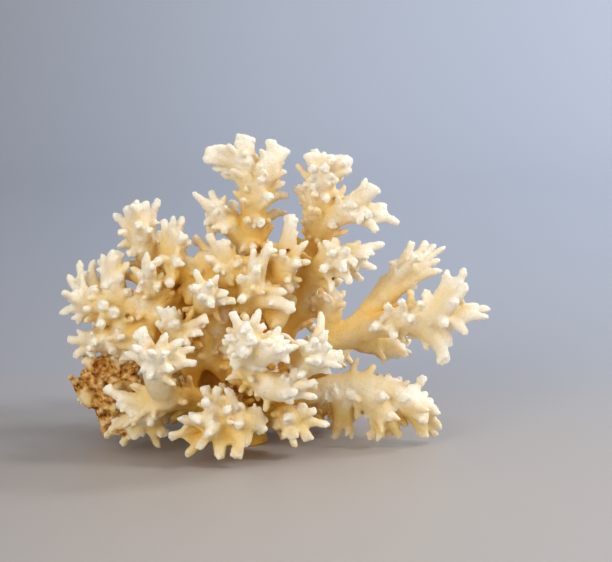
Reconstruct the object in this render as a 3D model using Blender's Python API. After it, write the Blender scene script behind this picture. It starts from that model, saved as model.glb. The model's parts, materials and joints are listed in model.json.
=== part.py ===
"""A dried branching coral colony, cut off flat at its holdfast, with one solid for each branch from its fork."""

import itertools
import math
import random

import bmesh
import bpy
import numpy as np
from mathutils import Vector

# Driving dimensions, in millimetres unless the name says otherwise.
COLONY_WIDTH = 150.0
FINGER_RADIUS = 1.7
FORK_GAP = 0.3
BRANCH_CLEARANCE = 0.6
FLOOR_CLEARANCE = 0.2
GUESSED_FINGER_LENGTH = (4.0, 7.5)

# The view that the branches' places were read from.
COLONY_WIDTH_PX = 428.6
VIEW_DISTANCE = 750.0
VIEW_ELEVATION = math.radians(10.0)
PHOTO_CENTRE_PX = (306, 281)
HOLDFAST_PX = (243, 441)

# How the branches grow: the share of its length after which a branch counts as grown together with its parent.
GROWN_TOGETHER = 0.72

# How a finger grows: how far its foot leans back along the branch, the share of the branch below which none stands,
# how its middle bends, from the shares of its length, the distance between its points, how thick its foot is against
# the branch and against the tip at most, and the shares of its length that a crowded finger is drawn back to.
FINGER_LEAN = 0.45
BARE_FOOT = 0.25
BEND_OUTWARD = 0.5
BEND_ALONG = 0.22
FINGER_STEP = 1.5
FOOT_TO_BRANCH = 0.85
FOOT_TO_TIP = 1.45
DRAWN_BACK = (1.0, 0.88, 0.76, 0.64)

# The guessed fingers: their number on a back branch and round a front branch, how far behind its middle those stay,
# the share of the branch that they start from, how they lean out there and at the tip, and their turn.
BACK_FINGERS = 14
HIDDEN_FINGERS = 8
HIDDEN_DEPTH = 3.0
GUESSED_FROM = 0.5
LEAN_AT_FOOT = 85.0
LEAN_AT_TIP = 20.0
LEAN_CHANCE = 10.0
GOLDEN_ANGLE = math.pi * (3 - math.sqrt(5))

# How the solids are made: the fusing remesh's cell, the share of its faces that is kept, the latitudes of the points
# on a round tip, in degrees, and the cutters that part the solids at the forks and at the base.
MESH_CELL = 0.75
KEPT_SHARE = 0.0235
DOME_ANGLES = (30.0, 55.0, 75.0)
FORK_OVERLAP = 1.5
CUTTER_DEPTH = 3.5
CUTTER_MARGIN = 0.8
BASE_CUTTER_RADIUS = 20.0

MM = 0.001
MM_PER_PX = COLONY_WIDTH / COLONY_WIDTH_PX
FORWARD = np.array([0.0, math.cos(VIEW_ELEVATION), -math.sin(VIEW_ELEVATION)])
RIGHT = np.array([1.0, 0.0, 0.0])
UP = np.cross(RIGHT, FORWARD)


def ray_through(px, py):
    """The line of sight through a pixel, long enough to reach the holdfast's depth."""
    across = (px - PHOTO_CENTRE_PX[0]) * MM_PER_PX
    down = (py - PHOTO_CENTRE_PX[1]) * MM_PER_PX
    return VIEW_DISTANCE * FORWARD + across * RIGHT - down * UP


EYE = -ray_through(*HOLDFAST_PX)


def place(px, py, depth):
    """The point seen at a pixel, a given depth behind the holdfast's axis (negative is nearer the viewer)."""
    ray = ray_through(px, py)
    return EYE + ray * ((depth - EYE[1]) / ray[1])


# Every branch, as read from the photograph: what it grows from, the line of its middle, its radius at both ends and
# where its fingers end. A place is (pixels across, pixels down, depth in mm), and a fourth value is a finger's radius.
BRANCHES = {
    "holdfast": dict(
        on=None,
        middle=[(243, 441, 0), (243, 420, 0), (243, 398, 0)],
        radii=(10.5, 8.0),
        fingers=[],
    ),
    "crown_stem": dict(
        on="holdfast",
        middle=[(243, 400, 2), (247, 330, 4), (251, 275, 0), (252, 225, -3), (256, 190, -4)],
        radii=(6.2, 4.8),
        fingers=[
            (240, 249, -9), (254, 247, -13), (272, 196, -13, 1.9), (263, 222, -15, 1.8), (287, 211, 6),
            (267, 223, 4), (286, 181, -2), (290, 194, 0), (284, 168, 2), (262, 176, -11),
            (222, 314, -15, 2.2), (214, 332, -14, 2.3), (223, 350, -17, 2.3),
        ],
    ),
    "crown_peak": dict(
        on="crown_stem",
        middle=[(254, 198, -4), (246, 170, -3), (244, 152, -3)],
        radii=(4.4, 3.0),
        fingers=[
            (245, 133, -3, 2.5), (236, 142, -1, 1.9), (212, 145, -5, 1.7), (204, 156, -6),
            (213, 167, -2), (226, 147, 5), (222, 175, 2), (250, 160, -9),
        ],
    ),
    "crown_east": dict(
        on="crown_stem",
        middle=[(257, 194, -4), (267, 172, -4), (274, 158, -4)],
        radii=(4.0, 2.8),
        fingers=[(270, 138, -4), (290, 149, -3, 1.6), (263, 159, 4), (258, 164, -9), (284, 162, 3)],
    ),
    "crown_west": dict(
        on="crown_stem",
        middle=[(250, 246, -3), (232, 226, -5), (218, 216, -6)],
        radii=(4.2, 2.8),
        fingers=[
            (192, 192, -8, 1.6), (210, 189, -3, 1.5), (202, 223, -10), (213, 210, -12), (205, 232, -4),
            (204, 214, -4), (233, 199, 6, 1.9), (222, 232, -12),
        ],
    ),
    "east_stem": dict(
        on="holdfast",
        middle=[(250, 396, 4), (283, 330, 6), (308, 278, 4), (318, 245, 3), (321, 212, 1)],
        radii=(5.6, 4.4),
        fingers=[(308, 208, -4, 1.8), (293, 185, 7, 1.7), (302, 196, 6, 1.8), (308, 222, 9), (335, 225, -8)],
    ),
    "east_head": dict(
        on="east_stem",
        middle=[(321, 218, 1), (320, 195, 0), (323, 172, 0)],
        radii=(4.4, 4.6),
        fingers=[
            (305, 153, -2), (314, 147, 0), (325, 150, 2), (333, 156, -4), (341, 154, 2), (350, 157, 0),
            (353, 169, -2), (345, 177, 3), (304, 182, -3), (306, 192, 2), (341, 192, -2),
            (310, 166, -7), (325, 165, -9), (330, 180, -8), (312, 185, -7), (328, 198, -8),
        ],
    ),
    "east_side": dict(
        on="east_stem",
        middle=[(320, 232, 1), (340, 213, -3), (357, 208, -4)],
        radii=(4.2, 3.4),
        fingers=[
            (354, 191, -4), (368, 178, -3), (378, 186, -7, 2.2), (388, 208, -3), (401, 223, -5, 1.7),
            (379, 232, -8), (350, 203, -10), (363, 222, -11), (344, 198, 3), (372, 215, -10),
        ],
    ),
    "east_shoulder": dict(
        on="east_stem",
        middle=[(308, 282, 3), (325, 265, -8), (341, 257, -13)],
        radii=(4.6, 3.6),
        fingers=[
            (386, 243, -11, 2.0), (375, 252, -15), (378, 268, -13), (364, 281, -9),
            (352, 285, -19, 1.8), (348, 249, -22, 1.9), (345, 270, -24), (326, 239, -12),
            (332, 291, -20), (362, 241, -4), (340, 300, -9), (322, 270, -22), (330, 252, -22),
            (358, 262, -20),
        ],
    ),
    "mid_pillar": dict(
        on="crown_stem",
        middle=[(250, 314, 3), (274, 291, -8), (285, 264, -15)],
        radii=(4.8, 3.8),
        fingers=[
            (292, 213, -14, 2.3), (308, 240, -15, 1.6), (300, 284, -8), (300, 262, -22), (283, 250, -22),
            (294, 292, -18),
        ],
    ),
    "mid_west": dict(
        on="crown_stem",
        middle=[(248, 312, 1), (234, 284, -8), (226, 266, -11)],
        radii=(4.4, 3.6),
        fingers=[
            (207, 232, -11, 1.9), (222, 239, -14, 2.6), (193, 236, -2), (192, 256, 0), (205, 256, -16),
            (214, 268, -18), (240, 262, -17),
        ],
    ),
    "centre_upper": dict(
        on="crown_stem",
        middle=[(249, 321, 0), (250, 303, -13), (252, 288, -19)],
        radii=(4.4, 3.6),
        fingers=[
            (254, 247, -19, 1.9), (271, 241, -22, 2.0), (257, 266, -27, 1.9), (238, 275, -24),
            (288, 291, -25, 1.8), (295, 309, -27, 2.2), (240, 300, -28),
        ],
    ),
    "upper_left_stem": dict(
        on="holdfast",
        middle=[(237, 397, 4), (205, 335, 6), (182, 295, 3), (174, 265, -4), (172, 245, -6)],
        radii=(5.4, 3.8),
        fingers=[
            (163, 218, -4, 2.0), (173, 216, -9, 1.6), (183, 215, -6, 2.0), (192, 240, -10, 1.7),
            (191, 257, -8), (156, 230, -2), (155, 262, -17), (178, 263, -19, 2.0), (169, 284, -19, 2.0),
            (155, 288, -18), (186, 235, -13),
        ],
    ),
    "left_crown": dict(
        on="upper_left_stem",
        middle=[(184, 302, 4), (155, 266, 3), (140, 236, 1)],
        radii=(4.4, 3.4),
        fingers=[
            (112, 212, 0, 1.8), (126, 206, -3, 1.7), (135, 199, 2, 1.8), (146, 200, -2, 1.9),
            (158, 199, 1, 1.5), (117, 230, -4), (118, 245, 3), (138, 222, -9, 1.9), (128, 254, -4),
            (150, 228, -8),
        ],
    ),
    "left_nub": dict(
        on="upper_left_stem",
        middle=[(186, 310, 4), (160, 292, -8), (148, 280, -12)],
        radii=(4.0, 3.2),
        fingers=[
            (145, 253, -16, 1.9), (151, 264, -20), (138, 272, -16), (130, 266, -6), (124, 273, 0),
            (135, 292, -16), (143, 308, -12, 2.0), (157, 314, -13, 2.0),
        ],
    ),
    "front_upper_left": dict(
        on="upper_left_stem",
        middle=[(204, 334, 5), (206, 312, -12), (206, 296, -24)],
        radii=(4.4, 3.6),
        fingers=[
            (195, 269, -27, 1.7), (218, 274, -27, 1.7), (228, 292, -31), (227, 300, -28),
            (192, 286, -32), (210, 282, -36), (212, 304, -34), (200, 296, -36),
        ],
    ),
    "left_stem": dict(
        on="holdfast",
        middle=[(232, 400, 0), (185, 355, -3), (135, 322, -5), (100, 306, -6), (86, 303, -6)],
        radii=(6.0, 3.8),
        fingers=[
            (77, 261, 2, 1.9), (91, 259, 3, 1.9), (66, 274, -2), (65, 298, -8), (59, 313, -6),
            (72, 290, -9), (101, 304, -17, 2.2), (76, 323, -6), (112, 312, -18, 2.2),
            (92, 284, -9, 2.0), (98, 326, -19, 2.0),
        ],
    ),
    "left_pillar": dict(
        on="left_stem",
        middle=[(130, 322, -5), (116, 296, -6), (111, 278, -6)],
        radii=(4.4, 3.6),
        fingers=[
            (102, 253, -5, 2.1), (112, 247, -8, 2.1), (119, 250, -3, 2.1), (122, 276, -11),
            (130, 290, -13), (103, 285, -12),
        ],
    ),
    "left_low": dict(
        on="left_stem",
        middle=[(140, 328, -4), (112, 338, -8), (96, 340, -9)],
        radii=(4.4, 3.6),
        fingers=[
            (66, 340, -6, 1.7), (72, 357, -6, 1.7), (88, 356, -14), (76, 332, -7), (112, 354, -18, 1.9),
            (104, 362, -8), (92, 342, -18), (120, 338, -19, 2.0), (126, 362, -14, 2.0), (136, 352, -18),
        ],
    ),
    "low_left_stem": dict(
        on="holdfast",
        middle=[(231, 412, -2), (172, 402, -3), (125, 394, 0), (98, 387, 0)],
        radii=(5.2, 3.8),
        fingers=[
            (75, 388, 0, 1.8), (79, 402, -4, 1.8), (91, 404, -6), (82, 377, 4), (100, 405, -9),
            (90, 365, 5, 2.0), (104, 361, 6, 2.2), (118, 366, 4, 2.0), (101, 419, -3, 2.2),
            (107, 432, -5, 1.8), (100, 387, -10),
        ],
    ),
    "front_left_stem": dict(
        on="holdfast",
        middle=[(232, 405, -6), (194, 400, -17), (162, 399, -25), (146, 416, -21)],
        radii=(5.4, 3.8),
        fingers=[
            (103, 438, -12, 1.8), (121, 449, -15, 2.0), (133, 440, -20), (158, 449, -18, 2.0),
            (167, 437, -20), (127, 415, -24, 1.9), (114, 404, -22, 1.9), (103, 387, -20, 2.0),
            (143, 432, -15), (150, 428, -28), (112, 424, -14, 2.0),
        ],
    ),
    "front_star": dict(
        on="front_left_stem",
        middle=[(166, 399, -27), (158, 380, -33), (156, 360, -37)],
        radii=(4.6, 3.8),
        fingers=[
            (138, 328, -38, 2.2), (125, 352, -37, 1.8), (133, 345, -43), (166, 332, -42, 2.0),
            (181, 339, -41, 2.0), (194, 346, -38, 1.6), (197, 362, -42, 1.5), (172, 369, -45, 2.0),
            (139, 370, -42, 1.8), (150, 373, -43, 1.8), (150, 350, -47), (165, 352, -48),
        ],
    ),
    "front_left_upper": dict(
        on="left_stem",
        middle=[(176, 349, -4), (178, 341, -16), (178, 332, -24)],
        radii=(4.2, 3.4),
        fingers=[
            (158, 306, -26, 2.1), (172, 307, -26, 2.1), (207, 317, -29, 1.7), (202, 332, -29),
            (188, 345, -32), (155, 322, -28), (175, 320, -31),
        ],
    ),
    "front_low": dict(
        on="holdfast",
        middle=[(242, 412, -10), (234, 413, -24), (218, 421, -34)],
        radii=(5.4, 4.2),
        fingers=[
            (184, 458, -33, 2.0), (167, 438, -34, 1.8), (197, 449, -40, 2.0), (219, 460, -37, 2.3),
            (202, 386, -36, 1.9), (215, 385, -38, 1.8), (228, 408, -42), (203, 400, -43, 2.0),
            (190, 418, -42, 2.2), (206, 436, -44, 2.0), (178, 420, -38, 2.0),
        ],
    ),
    "front_low_east": dict(
        on="front_low",
        middle=[(221, 418, -31), (240, 419, -33), (255, 420, -33)],
        radii=(3.6, 2.8),
        fingers=[
            (263, 407, -33, 1.8), (270, 421, -31, 1.7), (243, 402, -37), (240, 426, -42, 2.0),
            (238, 459, -38, 2.2), (249, 448, -36, 1.9), (267, 433, -33, 2.1), (228, 387, -39, 1.8),
        ],
    ),
    "front_mid": dict(
        on="holdfast",
        middle=[(246, 400, -8), (252, 376, -27), (250, 356, -37), (246, 340, -41)],
        radii=(5.2, 4.2),
        fingers=[
            (231, 310, -42, 1.9), (259, 309, -40, 1.9), (225, 336, -46, 1.7), (226, 351, -44, 1.8),
            (231, 366, -44, 1.9), (245, 324, -48, 2.2), (265, 323, -39, 1.6), (279, 331, -39, 1.8),
            (242, 352, -51, 2.2), (252, 338, -50, 2.0),
        ],
    ),
    "front_mid_east": dict(
        on="front_mid",
        middle=[(251, 364, -33), (264, 354, -41), (272, 351, -43)],
        radii=(4.2, 3.4),
        fingers=[
            (288, 340, -43, 1.8), (292, 348, -43), (291, 358, -42), (278, 368, -43), (269, 367, -41),
            (282, 349, -49), (264, 342, -47), (262, 370, -40),
        ],
    ),
    "right_front": dict(
        on="holdfast",
        middle=[(251, 402, -7), (280, 384, -20), (304, 366, -30), (318, 352, -34)],
        radii=(5.2, 3.8),
        fingers=[
            (281, 332, -33, 1.8), (298, 339, -39, 1.9), (309, 346, -41, 1.8), (323, 312, -25, 1.9),
            (344, 358, -35, 2.3), (300, 377, -42, 1.6), (331, 373, -33, 1.8), (326, 330, -37),
            (331, 344, -38), (315, 338, -42), (318, 362, -40),
        ],
    ),
    "right_front_low": dict(
        on="front_mid",
        middle=[(252, 370, -30), (265, 383, -34), (282, 391, -36)],
        radii=(4.2, 3.2),
        fingers=[
            (299, 370, -37, 1.8), (319, 382, -36, 1.8), (319, 398, -34, 1.8), (298, 393, -41, 1.9),
            (295, 404, -37, 1.8), (268, 386, -38, 1.9), (262, 398, -34, 2.0),
        ],
    ),
    "low_front_east": dict(
        on="holdfast",
        middle=[(252, 416, -7), (272, 416, -17), (292, 418, -26)],
        radii=(4.2, 3.4),
        fingers=[
            (330, 425, -25, 1.7), (313, 441, -27, 1.9), (295, 440, -30, 1.9), (284, 439, -30, 1.9),
            (288, 417, -34, 2.0), (318, 410, -27, 1.8), (306, 404, -27, 1.8), (276, 428, -28, 1.8),
        ],
    ),
    "right_arm": dict(
        on="holdfast",
        middle=[(256, 402, -2), (298, 364, -1), (342, 337, 0), (388, 324, -2), (445, 312, -5)],
        radii=(5.6, 3.8),
        fingers=[
            (427, 289, -4, 1.7), (421, 300, -8), (437, 293, -1, 1.6), (449, 268, -3, 1.7),
            (467, 267, -4, 1.7), (468, 284, -7, 2.2), (491, 308, -4, 1.7), (489, 317, -7, 1.6),
            (470, 334, -9, 2.1), (447, 364, -8, 2.4), (430, 351, -3, 1.8), (452, 347, -7, 1.9),
            (418, 339, 2), (446, 326, -13, 2.0), (458, 300, -12, 2.2), (480, 305, 1),
            (388, 303, -9), (402, 299, -12), (410, 318, -13), (376, 326, -13, 2.0), (396, 338, -13),
        ],
    ),
    "right_upper": dict(
        on="right_arm",
        middle=[(338, 339, 0), (372, 308, 2), (397, 280, 3)],
        radii=(4.8, 3.8),
        fingers=[
            (398, 257, 3, 1.9), (413, 240, 2, 1.6), (417, 254, -5, 1.6), (428, 241, 6, 1.6),
            (445, 246, 3, 1.5), (441, 258, -1, 1.6), (443, 269, -2, 1.9), (418, 284, 4),
            (437, 243, 9),
        ],
    ),
    "right_back": dict(
        on="right_arm",
        middle=[(346, 336, 2), (376, 344, 9), (392, 347, 12)],
        radii=(4.6, 3.4),
        fingers=[
            (408, 333, 12, 1.9), (405, 349, 10, 1.6), (403, 356, 13, 1.6), (385, 364, 10, 1.9),
            (398, 340, 18),
        ],
    ),
    "right_spur": dict(
        on="right_arm",
        middle=[(318, 354, -1), (328, 325, 0), (329, 305, 0)],
        radii=(3.8, 3.6),
        fingers=[
            (311, 297, 0, 1.9), (320, 290, -3, 1.9), (332, 288, 2), (345, 291, 0, 1.6), (346, 304, 4),
            (326, 295, -7),
        ],
    ),
    "low_right_stem": dict(
        on="holdfast",
        middle=[(255, 409, -4), (312, 391, -9), (358, 384, -9), (392, 393, -8), (417, 406, -7)],
        radii=(5.4, 4.0),
        fingers=[
            (425, 442, -6, 2.4), (437, 439, -3, 1.8), (442, 429, -4, 2.0), (440, 413, -6, 2.2),
            (435, 404, -2, 2.0), (426, 393, -4, 1.5), (416, 387, -7, 1.9), (425, 376, -2, 1.5),
            (392, 377, -4, 1.5), (401, 377, 1, 1.5), (381, 375, 3, 1.8), (427, 424, -12, 2.4),
            (408, 398, -14, 2.2),
        ],
    ),
    "low_right_front": dict(
        on="low_right_stem",
        middle=[(354, 385, -9), (374, 401, -10), (384, 410, -10)],
        radii=(4.2, 3.4),
        fingers=[
            (371, 443, -8, 1.9), (380, 442, -11, 1.9), (391, 438, -7, 1.8), (402, 444, -8, 2.1),
            (409, 426, -5, 1.8), (410, 416, -2, 1.6), (386, 396, -17, 1.9), (366, 420, -10, 1.9),
            (395, 420, -15, 2.0),
        ],
    ),
    "low_right_legs": dict(
        on="low_right_stem",
        middle=[(338, 387, -9), (342, 402, -8), (343, 410, -8)],
        radii=(3.6, 3.0),
        fingers=[
            (334, 442, -8, 2.0), (352, 442, -6, 2.0), (323, 399, -14, 1.7), (333, 393, -15, 1.7),
            (352, 395, -14, 1.7),
        ],
    ),
}

# The half that the photograph hides, in millimetres: x to the right, y away from the viewer, z up.
BACK_BRANCHES = {
    "back_stem": dict(on="holdfast", middle=[(0, 2, 11), (3, 19, 30), (5, 34, 49)], radii=(5.6, 4.0)),
    "back_west": dict(on="back_stem", middle=[(3, 20, 31), (-9, 29, 38), (-19, 38, 44)], radii=(4.6, 3.6)),
    "back_east": dict(on="back_stem", middle=[(4, 22, 33), (15, 31, 37), (24, 39, 40)], radii=(4.4, 3.6)),
    "back_low": dict(on="holdfast", middle=[(0, 2, 8), (2, 24, 12), (4, 41, 15)], radii=(5.2, 4.0)),
    "back_low_west": dict(
        on="back_low", middle=[(2, 20, 12), (-13, 30, 12), (-24, 38, 13)], radii=(4.6, 3.6)
    ),
    "back_low_east": dict(on="back_low", middle=[(2, 23, 12), (16, 31, 11), (28, 37, 12)], radii=(4.6, 3.6)),
    "back_left": dict(on="holdfast", middle=[(-1, 1, 11), (-22, 18, 26), (-40, 29, 36)], radii=(5.2, 3.8)),
    "back_left_low": dict(on="holdfast", middle=[(-1, 1, 8), (-28, 13, 11), (-49, 22, 13)], radii=(5.0, 3.8)),
    "back_left_upper": dict(
        on="upper_left_stem", middle=[(-14, 5, 40), (-24, 17, 54), (-31, 25, 63)], radii=(4.4, 3.6)
    ),
    "left_back": dict(on="left_stem", middle=[(-30, -3, 33), (-44, 11, 41), (-53, 18, 44)], radii=(4.4, 3.6)),
    "back_right": dict(on="holdfast", middle=[(1, 1, 11), (22, 19, 22), (37, 31, 29)], radii=(5.2, 3.8)),
    "back_right_low": dict(on="holdfast", middle=[(1, 0, 8), (27, 13, 10), (46, 22, 12)], radii=(5.0, 3.8)),
    "crown_back": dict(on="crown_stem", middle=[(2, 2, 52), (3, 12, 61), (3, 20, 66)], radii=(4.4, 3.6)),
    "east_back": dict(on="east_stem", middle=[(20, 4, 46), (26, 15, 54), (29, 22, 58)], radii=(4.2, 3.4)),
}

CREAM = (0.83, 0.72, 0.50)
GOLDEN = (0.66, 0.50, 0.27)
BROWNED = (0.52, 0.36, 0.16)
BRANCH_COLOURS = {"holdfast": GOLDEN, "low_left_stem": BROWNED}


def arc_lengths(line):
    """The distance of each point from the first, along the line."""
    steps = np.linalg.norm(np.diff(line, axis=0), axis=1)
    return np.concatenate([[0.0], np.cumsum(steps)])


def at_length(line, length):
    lengths = arc_lengths(line)
    return np.array([np.interp(length, lengths, line[:, axis]) for axis in range(3)])


def direction_at(line, length):
    ahead = at_length(line, length + 1) - at_length(line, length - 1)
    return ahead / np.linalg.norm(ahead)


def smooth_line(corners):
    """A smooth curve through hand-placed points, with a point about every millimetre."""
    ends = [2 * corners[0] - corners[1], *corners, 2 * corners[-1] - corners[-2]]
    line = []
    for before, start, end, after in zip(ends, ends[1:], ends[2:], ends[3:]):
        count = max(1, round(np.linalg.norm(end - start)))
        for t in np.arange(count) / count:
            bend = 2 * before - 5 * start + 4 * end - after
            turn = 3 * start - before - 3 * end + after
            line.append(start + ((end - before) * t + bend * t**2 + turn * t**3) / 2)
    return np.array(line + [corners[-1]])


def stem_of(branch):
    """(line, radii) of a branch's own middle line."""
    front = branch in BRANCHES
    about = BRANCHES[branch] if front else BACK_BRANCHES[branch]
    line = smooth_line([place(*corner) if front else np.array(corner, float) for corner in about["middle"]])
    lengths = arc_lengths(line)
    return line, about["radii"][0] + (about["radii"][1] - about["radii"][0]) * lengths / lengths[-1]


STEMS = {branch: stem_of(branch) for branch in [*BRANCHES, *BACK_BRANCHES]}
PARENTS = {branch: about["on"] for branch, about in [*BRANCHES.items(), *BACK_BRANCHES.items()]}


def grows_on(branch, ancestor):
    while branch and branch != ancestor:
        branch = PARENTS[branch]
    return branch == ancestor


def nearest_gap(point, points, sizes):
    return np.min(np.linalg.norm(points - point, axis=1) - sizes)


def fork_length(branch):
    """How far along its middle line a branch is still grown together with any other."""
    line, radii = STEMS[branch]
    others = [stem for name, stem in STEMS.items() if not grows_on(name, branch)]
    points = np.concatenate([stem[0] for stem in others])
    sizes = np.concatenate([stem[1] for stem in others])
    gaps = [nearest_gap(point, points, sizes) - radius for point, radius in zip(line, radii)]
    touching = [i for i, gap in enumerate(gaps) if gap < BRANCH_CLEARANCE]
    return arc_lengths(line)[min(touching[-1] + 1, len(line) - 1)]


FORKS = {branch: fork_length(branch) for branch in STEMS if PARENTS[branch]}


def is_lobe(branch):
    """A branch that stays grown together almost to its end is a lobe of the one that it grows on."""
    return bool(PARENTS[branch]) and FORKS[branch] > GROWN_TOGETHER * arc_lengths(STEMS[branch][0])[-1]


def solid_at(branch, length):
    """The solid that holds a branch's middle line at a given length."""
    parent = PARENTS[branch]
    if not parent or (not is_lobe(branch) and length >= FORKS[branch]):
        return branch
    line = STEMS[parent][0]
    root = np.argmin(np.linalg.norm(line - STEMS[branch][0][0], axis=1))
    return solid_at(parent, arc_lengths(line)[root])


def finger_feet(branch, tip):
    """Where a finger may leave its branch's middle line: the natural length, then one on the fork's other side."""
    line = STEMS[branch][0]
    lengths = arc_lengths(line)
    reach = np.linalg.norm(line - tip, axis=1)
    natural = lengths[np.argmin(reach)] - FINGER_LEAN * np.min(reach)
    natural = max(natural, BARE_FOOT * lengths[-1])
    if not PARENTS[branch] or is_lobe(branch):
        return [natural]
    above = max(natural, FORKS[branch] + FINGER_RADIUS)
    below = min(natural, FORKS[branch] - FINGER_RADIUS)
    return [above, below] if natural > FORKS[branch] else [below, above]


def finger(branch, foot, tip, radius):
    """(line, radii) of a finger that leaves its branch, bends along it and ends at its tip."""
    line, radii = STEMS[branch]
    root = at_length(line, foot)
    length = np.linalg.norm(tip - root)
    aim = (tip - root) / length
    bend = root + (BEND_OUTWARD * aim + BEND_ALONG * direction_at(line, foot)) * length
    end = tip - aim * radius
    count = max(3, round(length / FINGER_STEP))
    t = np.linspace(0, 1, count)[:, None]
    points = (1 - t) ** 2 * root + 2 * t * (1 - t) * bend + t**2 * end
    root_radius = min(FOOT_TO_BRANCH * np.interp(foot, arc_lengths(line), radii), FOOT_TO_TIP * radius)
    return points, root_radius + (radius - root_radius) * t[:, 0]


def domed(line, radii):
    """The limb with a round end added to its tip."""
    aim = line[-1] - line[-2]
    aim /= np.linalg.norm(aim)
    angles = np.radians(DOME_ANGLES)
    tip = line[-1] + np.outer(np.sin(angles), aim) * radii[-1]
    return np.vstack([line, tip]), np.concatenate([radii, np.cos(angles) * radii[-1]])


def spread_tips(branch, count):
    """Guessed finger tips around the outer part of a branch, spread by the golden angle."""
    chance = random.Random(branch)
    line, radii = STEMS[branch]
    whole = arc_lengths(line)[-1]
    turn = chance.uniform(0, 2 * math.pi)
    tips = []
    for i in range(count):
        share = (i + 0.5) / count
        foot = whole * (GUESSED_FROM + (1 - GUESSED_FROM) * share)
        along = direction_at(line, foot)
        side = np.cross(along, UP)
        side /= np.linalg.norm(side)
        other = np.cross(along, side)
        turn += GOLDEN_ANGLE
        lean = LEAN_AT_FOOT + (LEAN_AT_TIP - LEAN_AT_FOOT) * share
        lean = math.radians(lean + chance.uniform(-LEAN_CHANCE, LEAN_CHANCE))
        out = math.cos(lean) * along + math.sin(lean) * (math.cos(turn) * side + math.sin(turn) * other)
        stem_radius = np.interp(foot, arc_lengths(line), radii)
        tips.append(at_length(line, foot) + out * (stem_radius + chance.uniform(*GUESSED_FINGER_LENGTH)))
    return tips


def above_floor(tip, radius):
    return np.array([tip[0], tip[1], max(tip[2], radius + FLOOR_CLEARANCE)])


def wanted_fingers():
    """(branch, tip, radius) of every finger: first those that the photograph shows, then those that it hides."""
    for branch, about in BRANCHES.items():
        for across, down, depth, *size in about["fingers"]:
            radius = size[0] if size else FINGER_RADIUS
            yield branch, above_floor(place(across, down, depth), radius), radius
    for branch in [*BACK_BRANCHES, *BRANCHES]:
        if branch == "holdfast":
            continue
        for tip in spread_tips(branch, BACK_FINGERS if branch in BACK_BRANCHES else HIDDEN_FINGERS):
            hidden = tip[1] - STEMS[branch][0][-1][1] > HIDDEN_DEPTH
            if branch in BACK_BRANCHES or hidden:
                yield branch, above_floor(tip, FINGER_RADIUS), FINGER_RADIUS


def stem_limbs():
    """The limbs that each solid gets from the stems, as (line, radii), each fork's stub with the solid below it."""
    limbs = {}
    for branch, (line, radii) in STEMS.items():
        lengths = arc_lengths(line)
        fork = 0.0 if not PARENTS[branch] or is_lobe(branch) else FORKS[branch]
        if fork:
            stub = lengths < fork + FORK_OVERLAP
            limbs.setdefault(solid_at(branch, fork - 1), []).append((line[stub], radii[stub]))
        free = lengths > fork - FORK_OVERLAP
        limbs.setdefault(solid_at(branch, math.inf), []).append(domed(line[free], radii[free]))
    return limbs


def stands_clear(limb, solid, limbs):
    """Whether a finger's outer part keeps its distance from every other solid."""
    others = [other for name, group in limbs.items() if name != solid for other in group]
    points = np.concatenate([line for line, _ in others])
    sizes = np.concatenate([radii for _, radii in others])
    line, radii = limb
    outer = slice(len(line) // 3, None)
    gaps = [nearest_gap(point, points, sizes) - radius for point, radius in zip(line[outer], radii[outer])]
    return min(gaps) > BRANCH_CLEARANCE


def grown_solids():
    """The limbs of each solid, with every finger drawn back or left out where it would touch another solid."""
    limbs = stem_limbs()
    for branch, tip, radius in wanted_fingers():
        feet = finger_feet(branch, tip)
        for share, foot in itertools.product(DRAWN_BACK, feet):
            root = at_length(STEMS[branch][0], foot)
            limb = finger(branch, foot, root + share * (tip - root), radius)
            solid = solid_at(branch, foot)
            if stands_clear(limb, solid, limbs):
                limbs[solid].append(domed(*limb))
                break
    return limbs


def limb_curve(limbs):
    """One curve object with a tapered round spline for each limb."""
    curve = bpy.data.curves.new("limbs", "CURVE")
    curve.dimensions = "3D"
    curve.bevel_depth = MM
    curve.bevel_resolution = 2
    curve.use_fill_caps = True
    for line, radii in limbs:
        spline = curve.splines.new("POLY")
        spline.points.add(len(line) - 1)
        for point, place_mm, radius in zip(spline.points, line, radii):
            point.co = (*place_mm * MM, 1.0)
            point.radius = radius
    return bpy.data.objects.new("limbs", curve)


def fused_mesh(name, limbs):
    """The limbs' tubes as one mesh, ready for a remesh to fuse them."""
    tubes = limb_curve(limbs)
    bpy.context.collection.objects.link(tubes)
    graph = bpy.context.evaluated_depsgraph_get()
    mesh = bpy.data.meshes.new_from_object(tubes.evaluated_get(graph))
    mesh.name = name
    curve = tubes.data
    bpy.data.objects.remove(tubes)
    bpy.data.curves.remove(curve)
    return mesh


def coral_material(name):
    material = bpy.data.materials.new(name + "_coral")
    material.use_nodes = True
    shader = material.node_tree.nodes["Principled BSDF"]
    colour = BRANCH_COLOURS.get(name, CREAM)
    shader.inputs["Base Color"].default_value = (*colour, 1.0)
    shader.inputs["Roughness"].default_value = 0.65
    material.diffuse_color = (*colour, 1.0)
    return material


def add_branch_object(name, limbs):
    """The object of one solid: its tubes fused by a remesh, then brought down to a few facets a finger."""
    branch = bpy.data.objects.new(name, fused_mesh(name, limbs))
    bpy.context.collection.objects.link(branch)
    branch.data.materials.append(coral_material(name))
    fuse = branch.modifiers.new("fuse", "REMESH")
    fuse.mode = "VOXEL"
    fuse.voxel_size = MESH_CELL * MM
    facets = branch.modifiers.new("facets", "DECIMATE")
    facets.ratio = KEPT_SHARE
    return branch


def cut_with(branch, cutter, label):
    cut = branch.modifiers.new(label, "BOOLEAN")
    cut.operation = "DIFFERENCE"
    cut.object = cutter


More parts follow.
